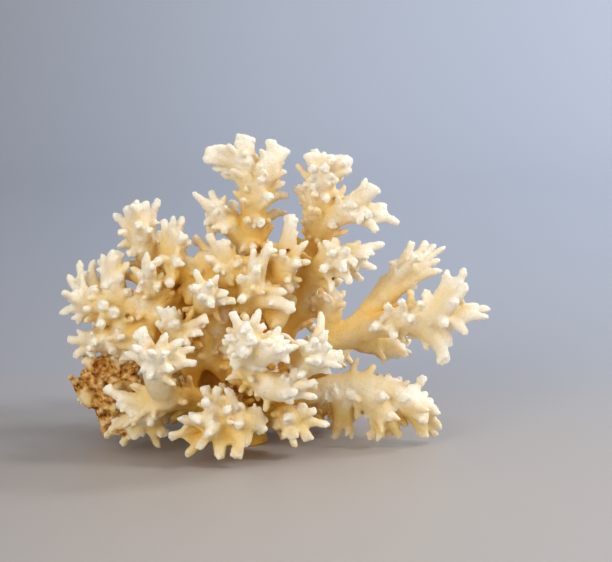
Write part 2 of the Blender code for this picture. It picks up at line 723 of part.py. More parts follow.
def add_cutter(name, mesh, location, direction):
    cutter = bpy.data.objects.new(name, mesh)
    bpy.context.collection.objects.link(cutter)
    cutter.hide_render = True
    cutter.display_type = "WIRE"
    cutter.location = Vector(location) * MM
    cutter.rotation_euler = Vector(direction).to_track_quat("Z", "Y").to_euler()
    return cutter


def disc_mesh(name, radius, depth):
    """A short cylinder that stands on its own origin, along Z."""
    mesh = bpy.data.meshes.new(name)
    disc = bmesh.new()
    bmesh.ops.create_cone(
        disc, cap_ends=True, segments=12, radius1=radius * MM, radius2=radius * MM, depth=depth * MM
    )
    bmesh.ops.translate(disc, vec=(0, 0, depth * MM / 2), verts=disc.verts)
    disc.to_mesh(mesh)
    disc.free()
    return mesh


def cut_fork(objects, branch):
    """Parts a branch from the solid that it grows on, with flat faces and a hair's breadth between them."""
    line, radii = STEMS[branch]
    length = FORKS[branch]
    middle = at_length(line, length)
    direction = direction_at(line, length)
    radius = np.interp(length, arc_lengths(line), radii) + CUTTER_MARGIN
    lower = objects[solid_at(branch, length - 1)]
    for label, solid, side in (("above_", lower, direction), ("below_", objects[branch], -direction)):
        mesh = disc_mesh(label + branch, radius, CUTTER_DEPTH)
        cutter = add_cutter(label + branch, mesh, middle - side * FORK_GAP / 2, side)
        cut_with(solid, cutter, label + branch)


def cut_base(holdfast):
    """Cuts the holdfast off flat where it grew on the rock."""
    mesh = disc_mesh("below_base", BASE_CUTTER_RADIUS, CUTTER_DEPTH * 2)
    cut_with(holdfast, add_cutter("below_base", mesh, (0, 0, 0), (0, 0, -1)), "base")


def main():
    for old in list(bpy.data.objects):
        bpy.data.objects.remove(old)
    objects = {name: add_branch_object(name, limbs) for name, limbs in grown_solids().items()}
    for branch in FORKS:
        if not is_lobe(branch):
            cut_fork(objects, branch)
    cut_base(objects["holdfast"])


main()
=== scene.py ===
"""A dried branching coral colony on a pale floor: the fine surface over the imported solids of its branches."""

import json
import math
import random
from typing import NamedTuple

import bpy
import numpy as np
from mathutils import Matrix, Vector


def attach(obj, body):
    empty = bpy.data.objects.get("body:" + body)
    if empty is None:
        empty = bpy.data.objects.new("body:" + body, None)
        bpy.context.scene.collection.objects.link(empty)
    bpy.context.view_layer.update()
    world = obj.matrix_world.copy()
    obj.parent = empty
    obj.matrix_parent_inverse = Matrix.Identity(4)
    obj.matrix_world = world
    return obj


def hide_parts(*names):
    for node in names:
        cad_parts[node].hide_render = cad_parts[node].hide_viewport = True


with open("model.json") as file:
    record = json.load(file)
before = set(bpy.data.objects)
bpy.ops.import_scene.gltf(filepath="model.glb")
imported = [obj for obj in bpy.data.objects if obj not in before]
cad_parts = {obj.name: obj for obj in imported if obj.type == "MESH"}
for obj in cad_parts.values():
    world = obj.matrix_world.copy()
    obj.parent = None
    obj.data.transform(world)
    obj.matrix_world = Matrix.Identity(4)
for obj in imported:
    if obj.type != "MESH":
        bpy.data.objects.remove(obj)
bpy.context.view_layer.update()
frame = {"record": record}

# Sizes are in millimetres unless the name says otherwise, as in the part's own source.
MM = 0.001
COLONY_WIDTH = 150.0
FINGER_RADIUS = 1.7
BRANCH_CLEARANCE = 0.6
FLOOR_CLEARANCE = 0.2
GUESSED_FINGER_LENGTH = (4.0, 7.5)

# The view that the branches' places were read from, and that the camera takes.
PHOTO_SIZE_PX = (612, 562)
COLONY_WIDTH_PX = 428.6
VIEW_DISTANCE = 750.0
VIEW_ELEVATION = math.radians(10.0)
PHOTO_CENTRE_PX = (306, 281)
HOLDFAST_PX = (243, 441)

# How the branches grow, as in the part.
GROWN_TOGETHER = 0.72
FINGER_LEAN = 0.45
BARE_FOOT = 0.25
BEND_OUTWARD = 0.5
BEND_ALONG = 0.22
FINGER_STEP = 1.5
FOOT_TO_BRANCH = 0.85
FOOT_TO_TIP = 1.45
BACK_FINGERS = 14
HIDDEN_FINGERS = 8
HIDDEN_DEPTH = 3.0
GUESSED_FROM = 0.5
LEAN_AT_FOOT = 85.0
LEAN_AT_TIP = 20.0
LEAN_CHANCE = 10.0
GOLDEN_ANGLE = math.pi * (3 - math.sqrt(5))

# The fine growth that the solids leave out. The stems are slimmed to make room for it.
USUAL_SLIMMING = 0.85
STEM_SLIMMING = {
    "low_right_stem": 0.76, "low_right_legs": 0.7, "holdfast": 0.8, "right_upper": 0.66, "right_arm": 0.78,
}
STUB_OVERLAP = 1.0
ODD_DIRECTION = (0.31, 0.17, 0.93)

# How each kind of growth is filleted into what carries it: along its length, and close to its foot.
STEM_FILLETS = (3.2, 3.2)
STALK_FILLETS = (0.8, 2.2)
TOOTH_FILLETS = (0.45, 0.8)
TOOTH_WEB_FILLETS = (0.5, 0.5)
SPUR_FILLETS = (0.5, 1.2)
WEB_FILLETS = (1.2, 1.8)
WALL_FILLETS = (2.5, 2.5)
KNOB_FILLETS = (1.2, 1.2)
CRUST_FILLETS = (0.5, 0.5)
FOOT_REACH = 7.0
FOOT_FADE = 3.0

# A finger: how its stalk thins, and the teeth at its flat end, as shares of its radius where they are shares.
STALK_TAPER = (1.25, 0.5)
BROAD_FINGER = 2.15
BROAD_TAPER = 0.75
BROAD_TEETH = (3, 4)
USUAL_TEETH = (1, 1, 2, 2, 3)
TURNED_SHARE = 0.4
FAN_TILT = 35.0
FAN_DEPTH = 3.0
TOOTH_PITCH = 1.15
TOOTH_LENGTH = 1.0
TOOTH_RADIUS = (0.24, 0.34)
TOOTH_TAPER = 2.1
TOOTH_SHIFT = 0.2
TOOTH_SLOPE = 0.35
TOOTH_UNEVENNESS = (-0.3, 0.9)
TOOTH_FOOT = 0.3
TOOTH_WEB = np.array([0.9, 0.5, 0.5])

# The teeth of a finger that points at the viewer, which stand in a ring.
TOWARDS_VIEWER = 0.6
RING_TEETH = (2, 3, 3, 4)
RING_SPREAD = (0.5, 0.95)
RING_DROP = (0.2, 1.0)
RING_DEPTH = 0.8
RING_TAPER = 2.0

# The side shoots of a finger.
SPURS_ON_FINGER = (0, 0, 1, 1)
SPUR_FOOT = (0.3, 0.92)
SPUR_LEAN = (38, 68)
SPUR_LENGTH = (0.7, 1.9)
SPUR_RADIUS = (0.45, 0.65)
SPUR_TAPER = 2.4

# The webs between neighbouring fingers: the tip that they leave free, and which fingers they join.
FREE_FINGER = (2.8, 5.0)
LOWEST_WEB = 0.45
WEB_SPAN = 8.0
WEB_SPREAD = 0.3
WEB_CANDIDATES = 6
WEB_PARTNERS = 2
WEB_THICKNESS = np.array([1.5, 1.0, 1.0])

# The short fingers that stand out of a branch's side, and the share of each branch that stays bare of them.
SPRIG_LENGTH = (3.0, 7.0)
SPRIG_SPACING = 5.7
SPRIG_LEAN = (35, 75)
SPRIG_RADIUS = (1.1, 1.6)
SPRIG_TAPER = np.array([1.5, 1.2, 1.0])
SPRIG_BEND = 0.6
SPRIG_BEND_SHARE = 0.6
SPRIG_FAN_SIZE = 0.75
SPRIG_HIDDEN = 0.15
SPRIG_SEEN_SHARE = 0.8
SPRIG_ABOVE_FLOOR = 1.5
USUAL_BARE_SHARE = 0.2
BARE_SHARE = {"right_arm": 0.7, "right_upper": 0.6, "low_right_stem": 0.5, "right_spur": 0.6, "right_back": 0.6}

# The low knobs on the stems.
KNOB_SPACING = 8.5
KNOB_HEIGHT = (0.0, 0.4)
KNOB_LEAN = 0.35
KNOB_RADIUS = (0.6, 1.0)
KNOB_TAPER = 1.3
KNOB_FOOT = 0.5

# The branch that dried growth has swollen and pitted.
CRUSTED_BRANCH = "low_left_stem"
CRUST_SPURS = 2
CRUST_SWELLING = 1.1
CRUST_KNOB_FOOT = 1.05
CRUST_KNOB_SPACING = 2.8
CRUST_KNOB_HEIGHT = (0.1, 0.9)
CRUST_PIT_DEPTH = 0.8
CRUST_COVER = (0.6, 2.2)
CRUST_PIT_SHAPE = (0.2, -1.6)

# The broad webs that join branches in the middle of the colony: the solid, half the thickness and three corners.
WALLS = [
    ("left_stem", 1.8, (100, 302, -9), (135, 302, -9), (120, 330, -11)),
    ("left_stem", 1.8, (92, 336, -10), (130, 335, -12), (115, 350, -12)),
    ("left_stem", 2.0, (122, 326, -11), (137, 302, -9), (142, 346, -11)),
    ("low_left_stem", 2.0, (86, 374, -2), (124, 374, -4), (106, 360, -4)),
    ("upper_left_stem", 2.0, (180, 262, -6), (198, 264, -8), (190, 300, -8)),
    ("upper_left_stem", 2.2, (203, 322, -12), (222, 302, -9), (208, 360, -14)),
    ("upper_left_stem", 2.2, (222, 302, -9), (208, 360, -14), (233, 384, -9)),
    ("crown_stem", 2.0, (228, 264, -8), (262, 264, -13), (244, 300, -14)),
    ("crown_stem", 2.0, (262, 262, -12), (286, 288, -13), (262, 304, -14)),
    ("crown_stem", 1.5, (239, 143, -3), (251, 141, -3), (246, 166, -4)),
    ("crown_stem", 1.3, (209, 150, -5), (207, 160, -6), (235, 165, -3)),
    ("crown_stem", 1.1, (270, 144, -4), (286, 152, -3), (272, 166, -4)),
    ("east_stem", 1.6, (309, 157, -2), (347, 161, 0), (323, 186, -2)),
    ("left_crown", 1.3, (127, 210, -2), (146, 206, -1), (140, 230, 0)),
    ("low_left_stem", 2.2, (88, 362, -6), (140, 360, -9), (112, 384, -8)),
    ("low_left_stem", 2.4, (80, 384, -5), (100, 378, -4), (90, 402, -6)),
    ("low_left_stem", 2.2, (102, 386, -6), (136, 382, -9), (112, 410, -8)),
    ("low_left_stem", 1.8, (100, 408, -5), (114, 404, -6), (106, 430, -6)),
    ("left_stem", 2.0, (138, 300, -9), (160, 294, -10), (148, 345, -10)),
    ("left_stem", 2.0, (178, 340, -13), (206, 342, -15), (192, 384, -12)),
    ("upper_left_stem", 1.8, (202, 256, -8), (222, 262, -9), (210, 288, -10)),
    ("crown_stem", 1.8, (226, 266, -9), (250, 262, -10), (236, 305, -12)),
    ("crown_stem", 1.8, (266, 246, -8), (294, 254, -9), (272, 296, -10)),
    ("crown_stem", 1.8, (262, 296, -10), (292, 300, -12), (276, 330, -14)),
]
WALL_SPRIG_AREA = 20.0
WALL_SPRIG_SIDEWAYS = (-0.9, 0.9)
WALL_SPRIG_UPWARDS = (-0.6, 1.0)
WALL_SPRIG_RADIUS = (1.1, 1.5)
WALL_SPRIG_SHARE = 0.8

# The holes between the branches, carved into the surface and darkened with painted shade: where they are, how wide
# they are and how far they go in.
HOLLOWS = [
    (236, 397, -18, 3.0, 9.0),
    (229, 389, -18, 1.6, 9.0),
    (178, 384, -14, 2.0, 8.0),
    (173, 398, -14, 1.7, 8.0),
    (133, 407, -16, 1.6, 6.0),
    (254, 417, -20, 1.8, 8.0),
    (272, 363, -38, 1.8, 7.0),
    (301, 396, -28, 2.0, 7.0),
    (104, 367, -9, 3.8, 3.2),
    (94, 391, -10, 1.2, 2.6),
    (108, 416, -9, 2.4, 3.0),
    (126, 370, -12, 2.2, 3.6),
]

# Where brown growth has dried on, partly a real stain on the crust and partly painted shade reaching into the
# hollows that it lies over, and where painted shade darkens a pinhole: the place, and the reach to the side, away
# from the viewer and upwards.
STAIN_AND_SHADE_PATCHES = [
    ((118, 394, -8), (7.0, 8.0, 3.5)),
    ((104, 422, -5), (3.0, 9.0, 5.0)),
    ((128, 431, -17), (4.0, 3.0, 2.5)),
    ((180, 384, -12), (4.5, 14.0, 3.0)),
    ((172, 398, -12), (3.5, 12.0, 3.5)),
    ((235, 396, -12), (3.8, 24.0, 3.4)),
    ((254, 414, -12), (3.0, 20.0, 2.5)),
    ((100, 369, -4), (7.5, 9.0, 3.2)),
]
PINHOLE_SHADES = [
    ((288, 252, -18), (1.0, 8.0, 1.0)),
    ((179, 284, -14), (0.55, 7.0, 0.55)),
    ((334, 278, -16), (0.7, 8.0, 0.6)),
    ((212, 312, -14), (0.6, 9.0, 0.6)),
    ((128, 315, -12), (1.2, 8.0, 1.0)),
    ((265, 342, -42), (1.0, 6.0, 0.9)),
    ((415, 377, -2), (0.5, 4.0, 0.5)),
]

# The grid that the surface is grown on, how the pieces meet on it, and the share of their faces that is kept.
CELL = 0.4
FAR = 9.0
SMALL_REACH = 2.2
REACH_MARGIN = 0.5
HOLLOW_MARGIN = 1
LOW = np.array([-69.0, -58.0, -2.0])
HIGH = np.array([92.0, 57.0, 114.0])
COUNT = np.ceil((HIGH - LOW) / CELL).astype(int) + 1
AXES = [LOW[axis] + CELL * np.arange(COUNT[axis]) for axis in range(3)]
SEAM_OVERLAP = 0.7
SEAM_SINK = 0.05
SEAM_FADE = 0.3
NET_SHIFT = 0.4
KEPT_SHARE = 0.54
SMALLEST_LENGTH = 1e-9
SMALLEST_SLOPE = 1e-6
EDGE_OF_GRID = 1.001

# The lumps that the surface has: their size in millimetres and a number of their own, so that no two are alike.
LATTICE_SIZE = 32
LATTICE = np.random.default_rng(7).uniform(-1, 1, (LATTICE_SIZE, LATTICE_SIZE, LATTICE_SIZE))
BROAD_SWELL = (6.5, 0)
SMALL_SWELL = (2.6, 20)
TIP_TEETH = (1.05, 50)
FINE_LUMPS = (1.2, 80)
CRUST_PITS = (1.5, 5)
CRUST_CLOUDS = (4.2, 12)
PATCH_EDGE = (2.6, 0)
PATCH_FRAY = (1.1, 31)

# How high those lumps stand: on the older skeleton, at the growing ends and all over.
BROAD_SWELL_HEIGHT = 0.45
BROAD_SWELL_FADE = 1.5
SMALL_SWELL_HEIGHT = 0.12
TOOTH_HEIGHT = 0.32
TOOTH_SHAPE = (0.0, 1.4)
TOOTH_YOUTH = (-0.7, 2.0)
FINE_HEIGHT = 0.07

# How thickly brown covers a patch, and painted shade a pinhole and a hollow: where it ends, as a share of the
# reach, how sharply it ends, and the most that there is of it. Above 1 it is darker. The last two make a patch's
# edge ragged.
PATCH_COVER = (1.0, 2.2, 1.0)
PINHOLE_SHADE_COVER = (1.2, 2.0, 1.5)
HOLLOW_SHADE_COVER = (1.4, 2.4, 1.6)
PATCH_RAGGEDNESS = (0.55, 0.25)

# How much of its surroundings a point sees, which the skeleton's colour takes as painted shade: the coarse grid's
# cell, the rays, their steps and what each step loses.
SIGHT_CELL = 1.9
SIGHT_RAYS = 48
SIGHT_STEPS = 12
SIGHT_STEP = 1.1
SIGHT_PAD = 14
SIGHT_LOSS = 0.42
SIGHT_LIFT = 1.5

# How far behind a finger's tip its skeleton is still young, and how young a short finger's is beside it.
TIP_REACH = 8.0
SPRIG_YOUTH = 0.5

# The patterns of the bare skeleton and of the crust. The pores are as far apart as on the real skeleton. The real
# grain is about 0.1 mm, too fine to show, so it is drawn coarser, at 0.45 mm.
CLOUD_SIZE = 9 * MM
PORE_SPACING = 1.0 * MM
SPECK_SIZE = 1.9 * MM
GRAIN_SIZE = 0.45 * MM
PORE_DEPTH = 0.22 * MM
GRAIN_DEPTH = 0.12 * MM
LIGHT_DEPTH = 1.1 * MM
PORE_SHADE_STRENGTH = 0.14
CLOUD_STRENGTH = 0.24
TIP_STRENGTH = 0.25
EXPOSURE_SHIFT = -0.29
# The buried copy's shift below makes it more golden, as painted shade for the solids deep in the colony.
SHADED_COPY_SHIFT = 0.04
BROWNED_SHIFT = 0.02

# The colours of the skeleton, from golden where the branches hide it to pale where it stands free: partly its own
# staining, partly painted shade.
SKELETON_AND_SHADE_COLOURS = [
    (0.0, "#dba024"),
    (0.12, "#e4b03c"),
    (0.24, "#eac266"),
    (0.38, "#edd190"),
    (0.52, "#eed9ae"),
    (0.72, "#f5ead3"),
]

# The colours of the crust, from the near-black of the painted shade in the hollows and pinholes through its darkest
# specks to its palest, and of the painted shade in the pores and of the growing tips.
CRUST_AND_SHADE_COLOURS = [
    (0.08, "#1c0a00"),
    (0.3, "#5f2a02"),
    (0.4, "#9c5e0c"),
    (0.48, "#c88c2a"),
    (0.57, "#ddae5c"),
    (0.7, "#efd9ac"),
]
PORE_SHADE_COLOURS = [(0.0, "#d8c8ac"), (1.0, "#ffffff")]
TIP_WHITE = "#fefaf0"

# The paper's colours: from the front edge to the wall, and a painted shade from the left to the right that darkens
# its left side, in metres.
PAPER_SPAN = (-0.3, 0.9)
PAPER_COLOURS = [
    (0.0, "#beb7b0"),
    (0.2, "#b9b2ab"),
    (0.27, "#b3aeaa"),
    (0.36, "#acaeb4"),
    (0.6, "#abb1bc"),
    (1.0, "#adb4c0"),
]
PAPER_SIDES = (-0.35, 0.35)
PAPER_SIDE_SHADE_COLOURS = [(0.0, "#c4beba"), (0.5, "#f2f1f1"), (1.0, "#ffffff")]

# The sweep of paper, in metres.
SWEEP_HALF_WIDTH = 1.8
SWEEP_FRONT = -0.9
SWEEP_BEND = 0.7
SWEEP_RADIUS = 0.5
SWEEP_TOP = 1.7
SWEEP_FIRST_ANGLE = 0.1
SWEEP_STEPS = 16

# The camera's sensor, from which its lens follows.
SENSOR_WIDTH_MM = 36.0

# The lights: their place and what they point at in metres, their width in metres, their watts and their colour.
LIGHTS = {
    "window": ((1.5, -0.55, 1.35), (0.0, 0.0, 0.04), 0.45, 15.5, "#fbfbff"),
    "front_fill": ((-0.9, -1.6, 0.7), (0.0, 0.0, 0.05), 1.2, 16.0, "#fdfcf9"),
    "wall_wash": ((1.5, 0.5, 1.1), (0.7, 1.2, 0.6), 0.6, 22.0, "#eaf0fa"),
}
DAYLIGHT = ("#e4e4e6", 0.7)

# The sockets of a mix node that carry colours.
FIRST, SECOND, MIXED = 6, 7, 2

MM_PER_PX = COLONY_WIDTH / COLONY_WIDTH_PX
FORWARD = np.array([0.0, math.cos(VIEW_ELEVATION), -math.sin(VIEW_ELEVATION)])
RIGHT = np.array([1.0, 0.0, 0.0])
UP = np.cross(RIGHT, FORWARD)


def ray_through(px, py):
    """The line of sight through a pixel, long enough to reach the holdfast's depth."""
    across = (px - PHOTO_CENTRE_PX[0]) * MM_PER_PX
    down = (py - PHOTO_CENTRE_PX[1]) * MM_PER_PX
    return VIEW_DISTANCE * FORWARD + across * RIGHT - down * UP


EYE = -ray_through(*HOLDFAST_PX)


def place(px, py, depth):
    """The point seen at a pixel, a given depth behind the holdfast's axis (negative is nearer the viewer)."""
    ray = ray_through(px, py)
    return EYE + ray * ((depth - EYE[1]) / ray[1])


# Every branch, as read from the photograph: what it grows from, the line of its middle, its radius at both ends and
# where its fingers end. A place is (pixels across, pixels down, depth in mm). A fourth value is a finger's radius.
BRANCHES = {
    "holdfast": dict(
        on=None,
        middle=[(243, 441, 0), (243, 420, 0), (243, 398, 0)],
        radii=(10.5, 8.0),
        fingers=[],
    ),
    "crown_stem": dict(
        on="holdfast",
        middle=[(243, 400, 2), (247, 330, 4), (251, 275, 0), (252, 225, -3), (256, 190, -4)],
        radii=(6.2, 4.8),
        fingers=[
            (240, 249, -9), (254, 247, -13), (272, 196, -13, 1.9), (263, 222, -15, 1.8), (287, 211, 6),
            (267, 223, 4), (286, 181, -2), (290, 194, 0), (284, 168, 2), (262, 176, -11),
            (222, 314, -15, 2.2), (214, 332, -14, 2.3), (223, 350, -17, 2.3),
        ],
    ),
    "crown_peak": dict(
        on="crown_stem",
        middle=[(254, 198, -4), (246, 170, -3), (244, 152, -3)],
        radii=(4.4, 3.0),
        fingers=[
            (245, 133, -3, 2.5), (236, 142, -1, 1.9), (212, 145, -5, 1.7), (204, 156, -6),
            (213, 167, -2), (226, 147, 5), (222, 175, 2), (250, 160, -9),
        ],
    ),
    "crown_east": dict(
        on="crown_stem",
        middle=[(257, 194, -4), (267, 172, -4), (274, 158, -4)],
        radii=(4.0, 2.8),
        fingers=[(270, 138, -4), (290, 149, -3, 1.6), (263, 159, 4), (258, 164, -9), (284, 162, 3)],
    ),
    "crown_west": dict(
        on="crown_stem",
        middle=[(250, 246, -3), (232, 226, -5), (218, 216, -6)],
        radii=(4.2, 2.8),
        fingers=[
            (192, 192, -8, 1.6), (210, 189, -3, 1.5), (202, 223, -10), (213, 210, -12), (205, 232, -4),
            (204, 214, -4), (233, 199, 6, 1.9), (222, 232, -12),
        ],
    ),
    "east_stem": dict(
        on="holdfast",
        middle=[(250, 396, 4), (283, 330, 6), (308, 278, 4), (318, 245, 3), (321, 212, 1)],
        radii=(5.6, 4.4),
        fingers=[(308, 208, -4, 1.8), (293, 185, 7, 1.7), (302, 196, 6, 1.8), (308, 222, 9), (335, 225, -8)],
    ),
    "east_head": dict(
        on="east_stem",
        middle=[(321, 218, 1), (320, 195, 0), (323, 172, 0)],
        radii=(4.4, 4.6),
        fingers=[
            (305, 153, -2), (314, 147, 0), (325, 150, 2), (333, 156, -4), (341, 154, 2), (350, 157, 0),
            (353, 169, -2), (345, 177, 3), (304, 182, -3), (306, 192, 2), (341, 192, -2),
            (310, 166, -7), (325, 165, -9), (330, 180, -8), (312, 185, -7), (328, 198, -8),
        ],
    ),
    "east_side": dict(
        on="east_stem",
        middle=[(320, 232, 1), (340, 213, -3), (357, 208, -4)],
        radii=(4.2, 3.4),
        fingers=[
            (354, 191, -4), (368, 178, -3), (378, 186, -7, 2.2), (388, 208, -3), (401, 223, -5, 1.7),
            (379, 232, -8), (350, 203, -10), (363, 222, -11), (344, 198, 3), (372, 215, -10),
        ],
    ),
    "east_shoulder": dict(
        on="east_stem",
        middle=[(308, 282, 3), (325, 265, -8), (341, 257, -13)],
        radii=(4.6, 3.6),
        fingers=[
            (386, 243, -11, 2.0), (375, 252, -15), (378, 268, -13), (364, 281, -9),
            (352, 285, -19, 1.8), (348, 249, -22, 1.9), (345, 270, -24), (326, 239, -12),
            (332, 291, -20), (362, 241, -4), (340, 300, -9), (322, 270, -22), (330, 252, -22),
            (358, 262, -20),
        ],
    ),
    "mid_pillar": dict(
        on="crown_stem",
        middle=[(250, 314, 3), (274, 291, -8), (285, 264, -15)],
        radii=(4.8, 3.8),
        fingers=[
            (292, 213, -14, 2.3), (308, 240, -15, 1.6), (300, 284, -8), (300, 262, -22), (283, 250, -22),
            (294, 292, -18),
        ],
    ),
    "mid_west": dict(
        on="crown_stem",
        middle=[(248, 312, 1), (234, 284, -8), (226, 266, -11)],
        radii=(4.4, 3.6),
        fingers=[
            (207, 232, -11, 1.9), (222, 239, -14, 2.6), (193, 236, -2), (192, 256, 0), (205, 256, -16),
            (214, 268, -18), (240, 262, -17),
        ],
    ),
    "centre_upper": dict(
        on="crown_stem",
        middle=[(249, 321, 0), (250, 303, -13), (252, 288, -19)],
        radii=(4.4, 3.6),
        fingers=[
            (254, 247, -19, 1.9), (271, 241, -22, 2.0), (257, 266, -27, 1.9), (238, 275, -24),
            (288, 291, -25, 1.8), (295, 309, -27, 2.2), (240, 300, -28),
        ],
    ),
    "upper_left_stem": dict(
        on="holdfast",
        middle=[(237, 397, 4), (205, 335, 6), (182, 295, 3), (174, 265, -4), (172, 245, -6)],
        radii=(5.4, 3.8),
        fingers=[
            (163, 218, -4, 2.0), (173, 216, -9, 1.6), (183, 215, -6, 2.0), (192, 240, -10, 1.7),
            (191, 257, -8), (156, 230, -2), (155, 262, -17), (178, 263, -19, 2.0), (169, 284, -19, 2.0),
            (155, 288, -18), (186, 235, -13),
        ],
    ),
    "left_crown": dict(
        on="upper_left_stem",
        middle=[(184, 302, 4), (155, 266, 3), (140, 236, 1)],
        radii=(4.4, 3.4),
        fingers=[
            (112, 212, 0, 1.8), (126, 206, -3, 1.7), (135, 199, 2, 1.8), (146, 200, -2, 1.9),
            (158, 199, 1, 1.5), (117, 230, -4), (118, 245, 3), (138, 222, -9, 1.9), (128, 254, -4),
            (150, 228, -8),
        ],
    ),
    "left_nub": dict(
        on="upper_left_stem",
        middle=[(186, 310, 4), (160, 292, -8), (148, 280, -12)],
        radii=(4.0, 3.2),
        fingers=[
            (145, 253, -16, 1.9), (151, 264, -20), (138, 272, -16), (130, 266, -6), (124, 273, 0),
            (135, 292, -16), (143, 308, -12, 2.0), (157, 314, -13, 2.0),
        ],
    ),
    "front_upper_left": dict(
        on="upper_left_stem",
        middle=[(204, 334, 5), (206, 312, -12), (206, 296, -24)],
        radii=(4.4, 3.6),
        fingers=[
            (195, 269, -27, 1.7), (218, 274, -27, 1.7), (228, 292, -31), (227, 300, -28),
            (192, 286, -32), (210, 282, -36), (212, 304, -34), (200, 296, -36),
        ],
    ),
    "left_stem": dict(
        on="holdfast",
        middle=[(232, 400, 0), (185, 355, -3), (135, 322, -5), (100, 306, -6), (86, 303, -6)],
        radii=(6.0, 3.8),
        fingers=[
            (77, 261, 2, 1.9), (91, 259, 3, 1.9), (66, 274, -2), (65, 298, -8), (59, 313, -6),
            (72, 290, -9), (101, 304, -17, 2.2), (76, 323, -6), (112, 312, -18, 2.2),
            (92, 284, -9, 2.0), (98, 326, -19, 2.0),
        ],
    ),
    "left_pillar": dict(
        on="left_stem",
        middle=[(130, 322, -5), (116, 296, -6), (111, 278, -6)],
        radii=(4.4, 3.6),
        fingers=[
            (102, 253, -5, 2.1), (112, 247, -8, 2.1), (119, 250, -3, 2.1), (122, 276, -11),
            (130, 290, -13), (103, 285, -12),
        ],
    ),
    "left_low": dict(
        on="left_stem",
        middle=[(140, 328, -4), (112, 338, -8), (96, 340, -9)],
        radii=(4.4, 3.6),
        fingers=[
            (66, 340, -6, 1.7), (72, 357, -6, 1.7), (88, 356, -14), (76, 332, -7), (112, 354, -18, 1.9),
            (104, 362, -8), (92, 342, -18), (120, 338, -19, 2.0), (126, 362, -14, 2.0), (136, 352, -18),
        ],
    ),
    "low_left_stem": dict(
        on="holdfast",
        middle=[(231, 412, -2), (172, 402, -3), (125, 394, 0), (98, 387, 0)],
        radii=(5.2, 3.8),
        fingers=[
            (75, 388, 0, 1.8), (79, 402, -4, 1.8), (91, 404, -6), (82, 377, 4), (100, 405, -9),
            (90, 365, 5, 2.0), (104, 361, 6, 2.2), (118, 366, 4, 2.0), (101, 419, -3, 2.2),
            (107, 432, -5, 1.8), (100, 387, -10),
        ],
    ),
    "front_left_stem": dict(
        on="holdfast",
        middle=[(232, 405, -6), (194, 400, -17), (162, 399, -25), (146, 416, -21)],
        radii=(5.4, 3.8),
        fingers=[
            (103, 438, -12, 1.8), (121, 449, -15, 2.0), (133, 440, -20), (158, 449, -18, 2.0),
            (167, 437, -20), (127, 415, -24, 1.9), (114, 404, -22, 1.9), (103, 387, -20, 2.0),
            (143, 432, -15), (150, 428, -28), (112, 424, -14, 2.0),
        ],
    ),
    "front_star": dict(
        on="front_left_stem",
        middle=[(166, 399, -27), (158, 380, -33), (156, 360, -37)],
        radii=(4.6, 3.8),
        fingers=[
            (138, 328, -38, 2.2), (125, 352, -37, 1.8), (133, 345, -43), (166, 332, -42, 2.0),
            (181, 339, -41, 2.0), (194, 346, -38, 1.6), (197, 362, -42, 1.5), (172, 369, -45, 2.0),
            (139, 370, -42, 1.8), (150, 373, -43, 1.8), (150, 350, -47), (165, 352, -48),
        ],
    ),
    "front_left_upper": dict(
        on="left_stem",
        middle=[(176, 349, -4), (178, 341, -16), (178, 332, -24)],
        radii=(4.2, 3.4),
        fingers=[
            (158, 306, -26, 2.1), (172, 307, -26, 2.1), (207, 317, -29, 1.7), (202, 332, -29),
            (188, 345, -32), (155, 322, -28), (175, 320, -31),
        ],
    ),
    "front_low": dict(
        on="holdfast",
        middle=[(242, 412, -10), (234, 413, -24), (218, 421, -34)],
        radii=(5.4, 4.2),
        fingers=[
            (184, 458, -33, 2.0), (167, 438, -34, 1.8), (197, 449, -40, 2.0), (219, 460, -37, 2.3),
            (202, 386, -36, 1.9), (215, 385, -38, 1.8), (228, 408, -42), (203, 400, -43, 2.0),
            (190, 418, -42, 2.2), (206, 436, -44, 2.0), (178, 420, -38, 2.0),
        ],
    ),
    "front_low_east": dict(
        on="front_low",
        middle=[(221, 418, -31), (240, 419, -33), (255, 420, -33)],
        radii=(3.6, 2.8),
        fingers=[
            (263, 407, -33, 1.8), (270, 421, -31, 1.7), (243, 402, -37), (240, 426, -42, 2.0),
            (238, 459, -38, 2.2), (249, 448, -36, 1.9), (267, 433, -33, 2.1), (228, 387, -39, 1.8),
        ],
    ),
    "front_mid": dict(
        on="holdfast",
        middle=[(246, 400, -8), (252, 376, -27), (250, 356, -37), (246, 340, -41)],
        radii=(5.2, 4.2),
        fingers=[
            (231, 310, -42, 1.9), (259, 309, -40, 1.9), (225, 336, -46, 1.7), (226, 351, -44, 1.8),
            (231, 366, -44, 1.9), (245, 324, -48, 2.2), (265, 323, -39, 1.6), (279, 331, -39, 1.8),
            (242, 352, -51, 2.2), (252, 338, -50, 2.0),
        ],
    ),
    "front_mid_east": dict(
        on="front_mid",
        middle=[(251, 364, -33), (264, 354, -41), (272, 351, -43)],
        radii=(4.2, 3.4),
        fingers=[
            (288, 340, -43, 1.8), (292, 348, -43), (291, 358, -42), (278, 368, -43), (269, 367, -41),
            (282, 349, -49), (264, 342, -47), (262, 370, -40),
        ],
    ),
    "right_front": dict(
        on="holdfast",
        middle=[(251, 402, -7), (280, 384, -20), (304, 366, -30), (318, 352, -34)],
        radii=(5.2, 3.8),
        fingers=[
            (281, 332, -33, 1.8), (298, 339, -39, 1.9), (309, 346, -41, 1.8), (323, 312, -25, 1.9),
            (344, 358, -35, 2.3), (300, 377, -42, 1.6), (331, 373, -33, 1.8), (326, 330, -37),
            (331, 344, -38), (315, 338, -42), (318, 362, -40),
        ],
    ),
    "right_front_low": dict(
        on="front_mid",
        middle=[(252, 370, -30), (265, 383, -34), (282, 391, -36)],
        radii=(4.2, 3.2),
        fingers=[
            (299, 370, -37, 1.8), (319, 382, -36, 1.8), (319, 398, -34, 1.8), (298, 393, -41, 1.9),
